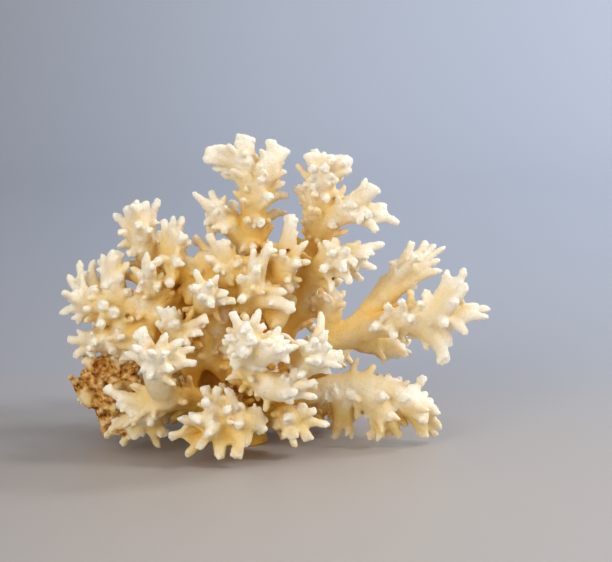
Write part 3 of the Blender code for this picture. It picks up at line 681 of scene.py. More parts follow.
            (295, 404, -37, 1.8), (268, 386, -38, 1.9), (262, 398, -34, 2.0),
        ],
    ),
    "low_front_east": dict(
        on="holdfast",
        middle=[(252, 416, -7), (272, 416, -17), (292, 418, -26)],
        radii=(4.2, 3.4),
        fingers=[
            (330, 425, -25, 1.7), (313, 441, -27, 1.9), (295, 440, -30, 1.9), (284, 439, -30, 1.9),
            (288, 417, -34, 2.0), (318, 410, -27, 1.8), (306, 404, -27, 1.8), (276, 428, -28, 1.8),
        ],
    ),
    "right_arm": dict(
        on="holdfast",
        middle=[(256, 402, -2), (298, 364, -1), (342, 337, 0), (388, 324, -2), (445, 312, -5)],
        radii=(5.6, 3.8),
        fingers=[
            (427, 289, -4, 1.7), (421, 300, -8), (437, 293, -1, 1.6), (449, 268, -3, 1.7),
            (467, 267, -4, 1.7), (468, 284, -7, 2.2), (491, 308, -4, 1.7), (489, 317, -7, 1.6),
            (470, 334, -9, 2.1), (447, 364, -8, 2.4), (430, 351, -3, 1.8), (452, 347, -7, 1.9),
            (418, 339, 2), (446, 326, -13, 2.0), (458, 300, -12, 2.2), (480, 305, 1),
            (388, 303, -9), (402, 299, -12), (410, 318, -13), (376, 326, -13, 2.0), (396, 338, -13),
        ],
    ),
    "right_upper": dict(
        on="right_arm",
        middle=[(338, 339, 0), (372, 308, 2), (397, 280, 3)],
        radii=(4.8, 3.8),
        fingers=[
            (398, 257, 3, 1.9), (413, 240, 2, 1.6), (417, 254, -5, 1.6), (428, 241, 6, 1.6),
            (445, 246, 3, 1.5), (441, 258, -1, 1.6), (443, 269, -2, 1.9), (418, 284, 4),
            (437, 243, 9),
        ],
    ),
    "right_back": dict(
        on="right_arm",
        middle=[(346, 336, 2), (376, 344, 9), (392, 347, 12)],
        radii=(4.6, 3.4),
        fingers=[
            (408, 333, 12, 1.9), (405, 349, 10, 1.6), (403, 356, 13, 1.6), (385, 364, 10, 1.9),
            (398, 340, 18),
        ],
    ),
    "right_spur": dict(
        on="right_arm",
        middle=[(318, 354, -1), (328, 325, 0), (329, 305, 0)],
        radii=(3.8, 3.6),
        fingers=[
            (311, 297, 0, 1.9), (320, 290, -3, 1.9), (332, 288, 2), (345, 291, 0, 1.6), (346, 304, 4),
            (326, 295, -7),
        ],
    ),
    "low_right_stem": dict(
        on="holdfast",
        middle=[(255, 409, -4), (312, 391, -9), (358, 384, -9), (392, 393, -8), (417, 406, -7)],
        radii=(5.4, 4.0),
        fingers=[
            (425, 442, -6, 2.4), (437, 439, -3, 1.8), (442, 429, -4, 2.0), (440, 413, -6, 2.2),
            (435, 404, -2, 2.0), (426, 393, -4, 1.5), (416, 387, -7, 1.9), (425, 376, -2, 1.5),
            (392, 377, -4, 1.5), (401, 377, 1, 1.5), (381, 375, 3, 1.8), (427, 424, -12, 2.4),
            (408, 398, -14, 2.2),
        ],
    ),
    "low_right_front": dict(
        on="low_right_stem",
        middle=[(354, 385, -9), (374, 401, -10), (384, 410, -10)],
        radii=(4.2, 3.4),
        fingers=[
            (371, 443, -8, 1.9), (380, 442, -11, 1.9), (391, 438, -7, 1.8), (402, 444, -8, 2.1),
            (409, 426, -5, 1.8), (410, 416, -2, 1.6), (386, 396, -17, 1.9), (366, 420, -10, 1.9),
            (395, 420, -15, 2.0),
        ],
    ),
    "low_right_legs": dict(
        on="low_right_stem",
        middle=[(338, 387, -9), (342, 402, -8), (343, 410, -8)],
        radii=(3.6, 3.0),
        fingers=[
            (334, 442, -8, 2.0), (352, 442, -6, 2.0), (323, 399, -14, 1.7), (333, 393, -15, 1.7),
            (352, 395, -14, 1.7),
        ],
    ),
}

# The half that the photograph hides, in millimetres: x to the right, y away from the viewer, z up.
BACK_BRANCHES = {
    "back_stem": dict(on="holdfast", middle=[(0, 2, 11), (3, 19, 30), (5, 34, 49)], radii=(5.6, 4.0)),
    "back_west": dict(on="back_stem", middle=[(3, 20, 31), (-9, 29, 38), (-19, 38, 44)], radii=(4.6, 3.6)),
    "back_east": dict(on="back_stem", middle=[(4, 22, 33), (15, 31, 37), (24, 39, 40)], radii=(4.4, 3.6)),
    "back_low": dict(on="holdfast", middle=[(0, 2, 8), (2, 24, 12), (4, 41, 15)], radii=(5.2, 4.0)),
    "back_low_west": dict(
        on="back_low", middle=[(2, 20, 12), (-13, 30, 12), (-24, 38, 13)], radii=(4.6, 3.6)
    ),
    "back_low_east": dict(on="back_low", middle=[(2, 23, 12), (16, 31, 11), (28, 37, 12)], radii=(4.6, 3.6)),
    "back_left": dict(on="holdfast", middle=[(-1, 1, 11), (-22, 18, 26), (-40, 29, 36)], radii=(5.2, 3.8)),
    "back_left_low": dict(on="holdfast", middle=[(-1, 1, 8), (-28, 13, 11), (-49, 22, 13)], radii=(5.0, 3.8)),
    "back_left_upper": dict(
        on="upper_left_stem", middle=[(-14, 5, 40), (-24, 17, 54), (-31, 25, 63)], radii=(4.4, 3.6)
    ),
    "left_back": dict(on="left_stem", middle=[(-30, -3, 33), (-44, 11, 41), (-53, 18, 44)], radii=(4.4, 3.6)),
    "back_right": dict(on="holdfast", middle=[(1, 1, 11), (22, 19, 22), (37, 31, 29)], radii=(5.2, 3.8)),
    "back_right_low": dict(on="holdfast", middle=[(1, 0, 8), (27, 13, 10), (46, 22, 12)], radii=(5.0, 3.8)),
    "crown_back": dict(on="crown_stem", middle=[(2, 2, 52), (3, 12, 61), (3, 20, 66)], radii=(4.4, 3.6)),
    "east_back": dict(on="east_stem", middle=[(20, 4, 46), (26, 15, 54), (29, 22, 58)], radii=(4.2, 3.4)),
}


def arc_lengths(line):
    """The distance of each point from the first, along the line."""
    steps = np.linalg.norm(np.diff(line, axis=0), axis=1)
    return np.concatenate([[0.0], np.cumsum(steps)])


def at_length(line, length):
    lengths = arc_lengths(line)
    return np.array([np.interp(length, lengths, line[:, axis]) for axis in range(3)])


def direction_at(line, length):
    ahead = at_length(line, length + 1) - at_length(line, length - 1)
    return ahead / np.linalg.norm(ahead)


def smooth_line(corners):
    """A smooth curve through given points, with a point about every millimetre."""
    ends = [2 * corners[0] - corners[1], *corners, 2 * corners[-1] - corners[-2]]
    line = []
    for before, start, end, after in zip(ends, ends[1:], ends[2:], ends[3:]):
        count = max(1, round(np.linalg.norm(end - start)))
        for t in np.arange(count) / count:
            bend = 2 * before - 5 * start + 4 * end - after
            turn = 3 * start - before - 3 * end + after
            line.append(start + ((end - before) * t + bend * t**2 + turn * t**3) / 2)
    return np.array(line + [corners[-1]])


def stem_of(branch):
    """(line, radii) of a branch's own middle line."""
    front = branch in BRANCHES
    about = BRANCHES[branch] if front else BACK_BRANCHES[branch]
    line = smooth_line([place(*corner) if front else np.array(corner, float) for corner in about["middle"]])
    lengths = arc_lengths(line)
    return line, about["radii"][0] + (about["radii"][1] - about["radii"][0]) * lengths / lengths[-1]


STEMS = {branch: stem_of(branch) for branch in [*BRANCHES, *BACK_BRANCHES]}
PARENTS = {branch: about["on"] for branch, about in [*BRANCHES.items(), *BACK_BRANCHES.items()]}


def grows_on(branch, ancestor):
    while branch and branch != ancestor:
        branch = PARENTS[branch]
    return branch == ancestor


def nearest_gap(point, points, sizes):
    return np.min(np.linalg.norm(points - point, axis=1) - sizes)


def fork_length(branch):
    """How far along its middle line a branch is still grown together with any other."""
    line, radii = STEMS[branch]
    others = [stem for name, stem in STEMS.items() if not grows_on(name, branch)]
    points = np.concatenate([stem[0] for stem in others])
    sizes = np.concatenate([stem[1] for stem in others])
    gaps = [nearest_gap(point, points, sizes) - radius for point, radius in zip(line, radii)]
    touching = [i for i, gap in enumerate(gaps) if gap < BRANCH_CLEARANCE]
    return arc_lengths(line)[min(touching[-1] + 1, len(line) - 1)]


FORKS = {branch: fork_length(branch) for branch in STEMS if PARENTS[branch]}


def is_lobe(branch):
    """A branch that stays grown together almost to its end is a lobe of the one that it grows on."""
    return bool(PARENTS[branch]) and FORKS[branch] > GROWN_TOGETHER * arc_lengths(STEMS[branch][0])[-1]


def solid_at(branch, length):
    """The solid that holds a branch's middle line at a given length."""
    parent = PARENTS[branch]
    if not parent or (not is_lobe(branch) and length >= FORKS[branch]):
        return branch
    line = STEMS[parent][0]
    root = np.argmin(np.linalg.norm(line - STEMS[branch][0][0], axis=1))
    return solid_at(parent, arc_lengths(line)[root])


def finger_foot(branch, tip):
    """How far along its branch's middle line a finger leaves it, clear of the fork."""
    line = STEMS[branch][0]
    lengths = arc_lengths(line)
    reach = np.linalg.norm(line - tip, axis=1)
    natural = lengths[np.argmin(reach)] - FINGER_LEAN * np.min(reach)
    natural = max(natural, BARE_FOOT * lengths[-1])
    if not PARENTS[branch] or is_lobe(branch):
        return natural
    if natural > FORKS[branch]:
        return max(natural, FORKS[branch] + FINGER_RADIUS)
    return min(natural, FORKS[branch] - FINGER_RADIUS)


def finger(branch, foot, tip, radius):
    """(line, radii) of a finger that leaves its branch, bends along it and ends at its tip."""
    line, radii = STEMS[branch]
    root = at_length(line, foot)
    length = np.linalg.norm(tip - root)
    aim = (tip - root) / length
    bend = root + (BEND_OUTWARD * aim + BEND_ALONG * direction_at(line, foot)) * length
    end = tip - aim * radius
    count = max(3, round(length / FINGER_STEP))
    t = np.linspace(0, 1, count)[:, None]
    points = (1 - t) ** 2 * root + 2 * t * (1 - t) * bend + t**2 * end
    root_radius = min(FOOT_TO_BRANCH * np.interp(foot, arc_lengths(line), radii), FOOT_TO_TIP * radius)
    return points, root_radius + (radius - root_radius) * t[:, 0]


def spread_tips(branch, count):
    """Guessed finger tips around the outer part of a branch, spread by the golden angle."""
    chance = random.Random(branch)
    line, radii = STEMS[branch]
    whole = arc_lengths(line)[-1]
    turn = chance.uniform(0, 2 * math.pi)
    tips = []
    for i in range(count):
        share = (i + 0.5) / count
        foot = whole * (GUESSED_FROM + (1 - GUESSED_FROM) * share)
        along = direction_at(line, foot)
        side = np.cross(along, UP)
        side /= np.linalg.norm(side)
        other = np.cross(along, side)
        turn += GOLDEN_ANGLE
        lean = LEAN_AT_FOOT + (LEAN_AT_TIP - LEAN_AT_FOOT) * share
        lean = math.radians(lean + chance.uniform(-LEAN_CHANCE, LEAN_CHANCE))
        out = math.cos(lean) * along + math.sin(lean) * (math.cos(turn) * side + math.sin(turn) * other)
        stem_radius = np.interp(foot, arc_lengths(line), radii)
        tips.append(at_length(line, foot) + out * (stem_radius + chance.uniform(*GUESSED_FINGER_LENGTH)))
    return tips


def above_floor(tip, radius):
    return np.array([tip[0], tip[1], max(tip[2], radius + FLOOR_CLEARANCE)])


def grown_fingers():
    """(solid, line, radii) of every finger: all that the photograph shows, then the guessed ones."""
    fingers = []
    for branch, about in BRANCHES.items():
        for across, down, depth, *size in about["fingers"]:
            radius = size[0] if size else FINGER_RADIUS
            tip = above_floor(place(across, down, depth), radius)
            foot = finger_foot(branch, tip)
            fingers.append((solid_at(branch, foot), *finger(branch, foot, tip, radius)))
    taken = [*STEMS.values()] + [(line, radii) for _, line, radii in fingers]
    for branch in [*BACK_BRANCHES, *BRANCHES]:
        if branch == "holdfast":
            continue
        for tip in spread_tips(branch, BACK_FINGERS if branch in BACK_BRANCHES else HIDDEN_FINGERS):
            if branch in BRANCHES and tip[1] - STEMS[branch][0][-1][1] <= HIDDEN_DEPTH:
                continue
            tip = above_floor(tip, FINGER_RADIUS)
            foot = finger_foot(branch, tip)
            line, radii = finger(branch, foot, tip, FINGER_RADIUS)
            points = np.concatenate([other[0] for other in taken])
            sizes = np.concatenate([other[1] for other in taken])
            if nearest_gap(line[-1], points, sizes) - radii[-1] > BRANCH_CLEARANCE:
                fingers.append((solid_at(branch, foot), line, radii))
                taken.append((line, radii))
    return fingers


def unit(vector):
    return vector / np.linalg.norm(vector)


def across_of(direction, turn):
    """A unit vector square to a direction, turned about it."""
    side = unit(np.cross(direction, ODD_DIRECTION))
    return math.cos(turn) * side + math.sin(turn) * np.cross(direction, side)


def leaning(chance, along, lean_range):
    """A unit vector that leans away from a direction by a number of degrees, to any side."""
    lean = math.radians(chance.uniform(*lean_range))
    return math.cos(lean) * along + math.sin(lean) * across_of(along, chance.uniform(0, 2 * math.pi))


def fan_side(chance, aim):
    """The direction in which a finger's flat end spreads: mostly across the line of sight, as the webs do."""
    if chance.random() < TURNED_SHARE:
        return across_of(aim, chance.uniform(0, math.pi))
    turn = math.radians(chance.uniform(-FAN_TILT, FAN_TILT))
    side = unit(np.cross(aim, FORWARD))
    return math.cos(turn) * side + math.sin(turn) * np.cross(aim, side)


def tooth(foot, crest, aim, wide, taper):
    return np.array([foot, crest - aim * wide]), np.array([wide * taper, wide])


def ring_of_teeth(chance, aim, end, radius, pitch):
    """The small teeth round the end of a finger that points at the viewer."""
    turn = chance.uniform(0, 2 * math.pi)
    count = chance.choice(RING_TEETH)
    foot = end - aim * FAN_DEPTH * RING_DEPTH
    teeth = []
    for index in range(count):
        out = across_of(aim, turn + 2 * math.pi * index / count) * pitch * chance.uniform(*RING_SPREAD)
        crest = end + out - aim * chance.uniform(*RING_DROP)
        teeth.append(tooth(foot, crest, aim, radius * chance.uniform(*TOOTH_RADIUS), RING_TAPER))
    return teeth


def fan(chance, line, radii, size):
    """(teeth, plates) of the flat toothed end that a finger broadens into."""
    aim = unit(line[-1] - line[-2])
    end = line[-1] + aim * radii[-1]
    pitch = TOOTH_PITCH * size * radii[-1] / FINGER_RADIUS
    if aim @ FORWARD < -TOWARDS_VIEWER:
        return ring_of_teeth(chance, aim, end, radii[-1], pitch), []
    side = fan_side(chance, aim)
    count = chance.choice(BROAD_TEETH if radii[-1] > BROAD_FINGER else USUAL_TEETH)
    heart = end - aim * FAN_DEPTH * size
    crests = []
    teeth = []
    for index in range(count):
        offset = (index - (count - 1) / 2) * pitch + chance.uniform(-TOOTH_SHIFT, TOOTH_SHIFT)
        crest = end + side * offset - aim * (TOOTH_SLOPE * abs(offset) + chance.uniform(*TOOTH_UNEVENNESS))
        foot = heart + side * offset * TOOTH_FOOT
        teeth.append(tooth(foot, crest, aim, radii[-1] * chance.uniform(*TOOTH_RADIUS), TOOTH_TAPER))
        crests.append(crest)
    plates = []
    for first, second in zip(crests, crests[1:]):
        corners = np.array([heart, first - aim * TOOTH_LENGTH, second - aim * TOOTH_LENGTH])
        plates.append((corners, TOOTH_WEB * radii[-1] / FINGER_RADIUS))
    return teeth, plates


def spurs(chance, line, radii, count):
    """Small pointed side shoots on a limb, leaning towards its tip."""
    lengths = arc_lengths(line)
    found = []
    for _ in range(count):
        foot = chance.uniform(*SPUR_FOOT) * lengths[-1]
        out = leaning(chance, direction_at(line, foot), SPUR_LEAN)
        root = at_length(line, foot)
        reach = np.interp(foot, lengths, radii) + chance.uniform(*SPUR_LENGTH)
        radius = chance.uniform(*SPUR_RADIUS)
        found.append((np.array([root, root + out * reach]), np.array([radius * SPUR_TAPER, radius])))
    return found


def sprig(chance, line, radii, foot):
    """A short finger that stands out of a branch's side."""
    out = leaning(chance, direction_at(line, foot), SPRIG_LEAN)
    root = at_length(line, foot)
    reach = np.interp(foot, arc_lengths(line), radii) + chance.uniform(*SPRIG_LENGTH)
    bend = across_of(out, chance.uniform(0, 2 * math.pi)) * SPRIG_BEND
    points = np.array([root, root + out * reach * SPRIG_BEND_SHARE + bend, root + out * reach])
    return points, chance.uniform(*SPRIG_RADIUS) * SPRIG_TAPER


def wall_sprigs(chance, corners, thick):
    """Short fingers that stand out of a broad web, towards the viewer."""
    a, b, c = corners
    area = np.linalg.norm(np.cross(b - a, c - a)) / 2
    for _ in range(int(area / WALL_SPRIG_AREA)):
        share, rest = sorted((chance.random(), chance.random()))
        root = share * a + (rest - share) * b + (1 - rest) * c
        sideways = chance.uniform(*WALL_SPRIG_SIDEWAYS) * RIGHT
        out = unit(sideways + chance.uniform(*WALL_SPRIG_UPWARDS) * UP - FORWARD)
        reach = thick + chance.uniform(*SPRIG_LENGTH) * WALL_SPRIG_SHARE
        points = np.array([root, root + out * reach * SPRIG_BEND_SHARE, root + out * reach])
        yield points, chance.uniform(*WALL_SPRIG_RADIUS) * SPRIG_TAPER


class Limb(NamedTuple):
    """One piece of growth: its solid, a tapering limb's line or a thin plate's three corners, and its fillets."""

    solid: str
    line: np.ndarray
    radii: np.ndarray
    fillets: tuple
    plate: bool = False


def finger_limbs(chance, solid, line, radii, shoots, size=1.0):
    """(limbs, tips) of a finger as it grew: a stalk that thins upwards, its toothed end and its side shoots."""
    thin = STALK_TAPER[1] if radii[-1] <= BROAD_FINGER else BROAD_TAPER
    stalk = radii * np.linspace(STALK_TAPER[0], thin, len(radii))
    teeth, plates = fan(chance, line, radii, size)
    small = spurs(chance, line, stalk, shoots)
    limbs = [Limb(solid, line, stalk, STALK_FILLETS)]
    limbs += [Limb(solid, *one, TOOTH_FILLETS) for one in teeth]
    limbs += [Limb(solid, *plate, TOOTH_WEB_FILLETS, plate=True) for plate in plates]
    limbs += [Limb(solid, *spur, SPUR_FILLETS) for spur in small]
    return limbs, [points[-1] for points, _ in teeth + small]


def crusted_limbs(chance, solid, line, radii):
    """A finger swollen by what has dried on it, knobbly all over."""
    swollen, _ = finger_limbs(chance, solid, line, radii * CRUST_SWELLING, CRUST_SPURS)
    lumpy = knobs(chance, line, radii * CRUST_KNOB_FOOT, CRUST_KNOB_SPACING, CRUST_KNOB_HEIGHT)
    return swollen + [Limb(solid, *knob, CRUST_FILLETS) for knob in lumpy]


def finger_webs(chance, fingers):
    """The thin webs that fill the forks between neighbouring fingers, as plates of three corners."""
    rims = []
    for _, line, _ in fingers:
        length = arc_lengths(line)[-1]
        rim = max(length - chance.uniform(*FREE_FINGER), LOWEST_WEB * length)
        rims.append(at_length(line, rim))
    aims = [unit(line[-1] - line[-2]) for _, line, _ in fingers]
    plates = []
    joined = set()
    for i, (solid, line, _) in enumerate(fingers):
        gaps = [np.linalg.norm(rim - rims[i]) for rim in rims]
        partners = 0
        for j in sorted(range(len(fingers)), key=gaps.__getitem__)[1 : WEB_CANDIDATES + 1]:
            pair = (min(i, j), max(i, j))
            feet = np.linalg.norm(line[0] - fingers[j][1][0])
            close = gaps[j] < WEB_SPAN and feet < WEB_SPAN and aims[i] @ aims[j] > WEB_SPREAD
            if fingers[j][0] != solid or pair in joined or not close or partners == WEB_PARTNERS:
                continue
            joined.add(pair)
            partners += 1
            corners = np.array([(line[0] + fingers[j][1][0]) / 2, rims[i], rims[j]])
            plates.append(Limb(solid, corners, WEB_THICKNESS, WEB_FILLETS, plate=True))
    return plates


def every_third(indices):
    """Every third of some indices, and the last one."""
    return np.append(indices[:-1:3], indices[-1])


def slimmed(branch, radii):
    return radii * STEM_SLIMMING.get(branch, USUAL_SLIMMING)


def stem_limbs(branch, line, radii):
    """A branch's own limb, and the stub of it that its parent's solid holds."""
    lengths = arc_lengths(line)
    fork = 0.0 if not PARENTS[branch] or is_lobe(branch) else FORKS[branch]
    if fork:
        stub = every_third(np.flatnonzero(lengths <= fork + STUB_OVERLAP))
        yield Limb(solid_at(branch, fork - STUB_OVERLAP), line[stub], radii[stub], STEM_FILLETS)
    free = every_third(np.flatnonzero(lengths >= fork))
    yield Limb(solid_at(branch, math.inf), line[free], radii[free], STEM_FILLETS)


def all_limbs():
    """Every limb, coarse first, and (place, youth) of the growing tips."""
    chance = random.Random("coral")
    limbs = []
    tips = []

    def grow(solid, points, sizes, shoots=0, size=SPRIG_FAN_SIZE, youth=SPRIG_YOUTH):
        grown, ends = finger_limbs(chance, solid, points, sizes, shoots, size)
        limbs.extend(grown)
        tips.extend((end, youth) for end in ends)

    stems = {branch: (line, slimmed(branch, radii)) for branch, (line, radii) in STEMS.items()}
    for branch, (line, radii) in stems.items():
        limbs += stem_limbs(branch, line, radii)
    for solid, thick, *corners in WALLS:
        wall = np.array([place(*corner) for corner in corners])
        limbs.append(Limb(solid, wall, np.full(3, thick), WALL_FILLETS, plate=True))
        for points, sizes in wall_sprigs(chance, wall, thick):
            grow(solid, points, sizes)
    fingers = grown_fingers()
    limbs += finger_webs(chance, fingers)
    for solid, line, radii in fingers:
        if solid == CRUSTED_BRANCH:
            limbs += crusted_limbs(chance, solid, line, radii)
        else:
            grow(solid, line, radii, chance.choice(SPURS_ON_FINGER), size=1.0, youth=1.0)
    for branch, (line, radii) in stems.items():
        lengths = arc_lengths(line)
        bare = BARE_SHARE.get(branch, USUAL_BARE_SHARE) * lengths[-1]
        count = int((lengths[-1] - bare) * 2 * math.pi * np.mean(radii) / SPRIG_SPACING**2)
        for _ in range(0 if branch == "holdfast" else count):
            foot = chance.uniform(bare, lengths[-1])
            points, sizes = sprig(chance, line, radii, foot)
            away = unit(points[-1] - points[0]) @ FORWARD
            above = points[-1][2] > sizes[-1] + SPRIG_ABOVE_FLOOR
            if above and (away > SPRIG_HIDDEN or chance.random() < SPRIG_SEEN_SHARE):
                grow(solid_at(branch, foot), points, sizes)
        for knob in knobs(chance, line, radii, KNOB_SPACING, KNOB_HEIGHT):
            foot = lengths[np.argmin(np.linalg.norm(line - knob[0][0], axis=1))]
            limbs.append(Limb(solid_at(branch, foot), *knob, KNOB_FILLETS))
    return limbs, tips


def knobs(chance, line, radii, spacing, proud):
    """Low knobs scattered over a limb's side."""
    lengths = arc_lengths(line)
    found = []
    for _ in range(int(lengths[-1] * 2 * math.pi * np.mean(radii) / spacing**2)):
        foot = chance.uniform(0, lengths[-1])
        along = direction_at(line, foot)
        out = unit(across_of(along, chance.uniform(0, 2 * math.pi)) + KNOB_LEAN * along)
        radius = chance.uniform(*KNOB_RADIUS)
        reach = np.interp(foot, lengths, radii) - radius + chance.uniform(*proud)
        root = at_length(line, foot)
        points = np.array([root + out * reach * KNOB_FOOT, root + out * reach])
        found.append((points, np.array([radius * KNOB_TAPER, radius])))
    return found


def window(low, high):
    """The part of the grid that covers a box."""
    first = np.clip(np.floor((low - LOW) / CELL).astype(int), 0, COUNT - 1)
    last = np.clip(np.ceil((high - LOW) / CELL).astype(int) + 1, 1, COUNT)
    return tuple(slice(a, max(a + 1, b)) for a, b in zip(first, last))


def grid_of(area):
    return np.ix_(*(AXES[axis][area[axis]].astype(np.float32) for axis in range(3)))


def plate_distance(x, y, z, corners, radii):
    """How far grid points are from the face of a thin plate, or FAR for those that aren't over it."""
    a, b, c = corners
    ab, ac = b - a, c - a
    normal = unit(np.cross(ab, ac))
    across_b, across_c = np.cross(ac, normal), np.cross(normal, ab)
    across_b, across_c = across_b / (across_b @ ab), across_c / (across_c @ ac)
    x, y, z = x - a[0], y - a[1], z - a[2]
    share_b = x * across_b[0] + y * across_b[1] + z * across_b[2]
    share_c = x * across_c[0] + y * across_c[1] + z * across_c[2]
    gap = np.abs(x * normal[0] + y * normal[1] + z * normal[2])
    gap = gap - (radii[0] + (radii[1] - radii[0]) * share_b + (radii[2] - radii[0]) * share_c)
    return np.where((share_b >= 0) & (share_c >= 0) & (share_b + share_c <= 1), gap, FAR)


def limb_distance(line, radii, reach, plate=False):
    """(window, distance) of a limb: how far each grid point within reach is from its tapered round surface."""
    pad = radii.max() + reach
    area = window(line.min(0) - pad, line.max(0) + pad)
    distance = np.full([part.stop - part.start for part in area], FAR, np.float32)
    edges = list(zip(line, line[1:], radii, radii[1:]))
    if plate:
        edges.append((line[-1], line[0], radii[-1], radii[0]))
        distance = np.minimum(distance, plate_distance(*grid_of(area), line, radii)).astype(np.float32)
    for a, b, size_a, size_b in edges:
        pad = max(size_a, size_b) + reach
        near = window(np.minimum(a, b) - pad, np.maximum(a, b) + pad)
        x, y, z = grid_of(near)
        ab = b - a
        share = ((x - a[0]) * ab[0] + (y - a[1]) * ab[1] + (z - a[2]) * ab[2]) / max(ab @ ab, SMALLEST_LENGTH)
        share = np.clip(share, 0, 1)
        gap = (x - a[0] - share * ab[0]) ** 2 + (y - a[1] - share * ab[1]) ** 2 + (z - a[2] - share * ab[2]) ** 2
        gap = np.sqrt(gap) - (size_a + (size_b - size_a) * share)
        inner = tuple(slice(n.start - w.start, n.stop - w.start) for n, w in zip(near, area))
        np.minimum(distance[inner], gap, out=distance[inner])
    return area, distance


def blended(first, second, width):
    """The union of two distances with a fillet of about the given width."""
    share = np.clip(0.5 + 0.5 * (first - second) / width, 0, 1)
    return first + (second - first) * share - width * share * (1 - share)


class Growth:
    """The colony on the grid: its distance field, and the two solids that each grid point is nearest to."""

    def __init__(self, limbs, names):
        self.field = np.full(COUNT, FAR, np.float32)
        self.nearest = np.full(COUNT, FAR, np.float32)
        self.second = np.full(COUNT, FAR, np.float32)
        self.owner = np.full(COUNT, -1, np.int8)
        self.runner_up = np.full(COUNT, -1, np.int8)
        self.low = {name: HIGH.copy() for name in names}
        self.high = {name: LOW.copy() for name in names}
        for limb in limbs:
            along, at_foot = limb.fillets
            reach = max(along, at_foot, SMALL_REACH) + REACH_MARGIN
            area, distance = limb_distance(limb.line, limb.radii, reach, limb.plate)
            x, y, z = grid_of(area)
            foot = limb.line[0]
            from_foot = np.sqrt((x - foot[0]) ** 2 + (y - foot[1]) ** 2 + (z - foot[2]) ** 2)
            near_foot = np.clip((FOOT_REACH - from_foot) / FOOT_FADE, 0, 1)
            self.field[area] = blended(self.field[area], distance, along + (at_foot - along) * near_foot)
            self.rank(area, distance, names.index(limb.solid))
            pad = limb.radii.max() + reach
            self.low[limb.solid] = np.minimum(self.low[limb.solid], limb.line.min(0) - pad)
            self.high[limb.solid] = np.maximum(self.high[limb.solid], limb.line.max(0) + pad)
        for *corner, radius, depth in HOLLOWS:
            middle, size = place(*corner), np.array([radius, depth, radius])
            area = window(middle - size - HOLLOW_MARGIN, middle + size + HOLLOW_MARGIN)
            x, y, z = grid_of(area)
            gap = np.sqrt(sum(((v - m) / n) ** 2 for v, m, n in zip((x, y, z), middle, size)))
            self.field[area] = np.maximum(self.field[area], ((1 - gap) * radius).astype(np.float32))
        self.field = np.maximum(self.field, -AXES[2].astype(np.float32))

    def rank(self, area, distance, solid):
        """Takes up a limb's distance where its solid is now the nearest or the second nearest."""
        nearest, second = self.nearest[area], self.second[area]
        owner, runner_up = self.owner[area], self.runner_up[area]
        ours = owner == solid
        lead = ~ours & (distance < nearest)
        follow = ~ours & ~lead & (distance < second)
        second[lead] = nearest[lead]
        runner_up[lead] = owner[lead]
        owner[lead] = solid
        second[follow] = distance[follow]
        runner_up[follow] = solid
        closer = (ours | lead) & (distance < nearest)
        nearest[closer] = distance[closer]

    def solid_field(self, name, names):
        """(window, field) of one solid: the colony's surface, closed off where the next solid takes over."""
        area = window(self.low[name], self.high[name])
        solid = names.index(name)
        lead = self.nearest[area] - self.second[area]
        border = np.full(lead.shape, FAR, np.float32)
        border = np.where(self.runner_up[area] == solid, -lead, border)
        border = np.where(self.owner[area] == solid, lead, border)
        sink = SEAM_SINK * np.clip(1 + border / SEAM_FADE, 0, 1)
        return area, np.maximum(self.field[area] + sink, border - SEAM_OVERLAP)


def surface_net(field):
    """(points, quads) of a field's zero surface, in cells, with one point in each cell that it passes through."""
    inside = field < 0
    offsets = np.array([(i, j, k) for i in (0, 1) for j in (0, 1) for k in (0, 1)])
    size = np.array(field.shape) - 1
    held = sum(inside[tuple(slice(o, o + n) for o, n in zip(offset, size))].astype(np.int8) for offset in offsets)
    crossed = (held > 0) & (held < 8)
    cells = np.argwhere(crossed)
    index = np.full(crossed.shape, -1, np.int32)
    index[crossed] = np.arange(len(cells))
    total = np.zeros((len(cells), 3))
    hits = np.zeros(len(cells))
    for axis in range(3):
        step = np.eye(3, dtype=int)[axis]
        for offset in offsets[offsets[:, axis] == 0]:
            start = field[tuple((cells + offset).T)]
            end = field[tuple((cells + offset + step).T)]
            cut = (start < 0) != (end < 0)
            share = start[cut] / (start[cut] - end[cut])
            total[cut] += offset + share[:, None] * step
            hits[cut] += 1
    points = cells + total / hits[:, None]
    quads = []
    for axis in range(3):
        b, c = (axis + 1) % 3, (axis + 2) % 3
        ahead = np.roll(inside, -1, axis)
        change = inside != ahead
        change[tuple(slice(-1, None) if k == axis else slice(None) for k in range(3))] = False
        edges = np.argwhere(change)
        edges = edges[(edges[:, b] > 0) & (edges[:, c] > 0) & (edges[:, b] < size[b]) & (edges[:, c] < size[c])]
        back_b, back_c = np.eye(3, dtype=int)[b], np.eye(3, dtype=int)[c]
        around = [edges - back_b - back_c, edges - back_c, edges, edges - back_b]
        quad = np.stack([index[tuple(cell.T)] for cell in around], axis=1)
        flip = ~inside[tuple(edges.T)]
        quad[flip] = quad[flip][:, ::-1]
        quads.append(quad)
    return points, np.concatenate(quads)


def sample(values, places):
    """Values between grid points, at places counted in cells."""
    limit = np.array(values.shape) - EDGE_OF_GRID
    places = np.clip(places, 0, limit)
    base = places.astype(int)
    part = places - base
    result = 0.0
    for corner in np.ndindex(2, 2, 2):
        weight = np.prod(np.where(corner, part, 1 - part), axis=1)
        result = result + weight * values[tuple((base + corner).T)]
    return result


def slope(values, places):
    """The unit direction in which a field grows fastest."""
    steps = np.eye(3) * 0.5
    rise = np.stack([sample(values, places + step) - sample(values, places - step) for step in steps], axis=1)
    return rise / np.maximum(np.linalg.norm(rise, axis=1, keepdims=True), SMALLEST_SLOPE)


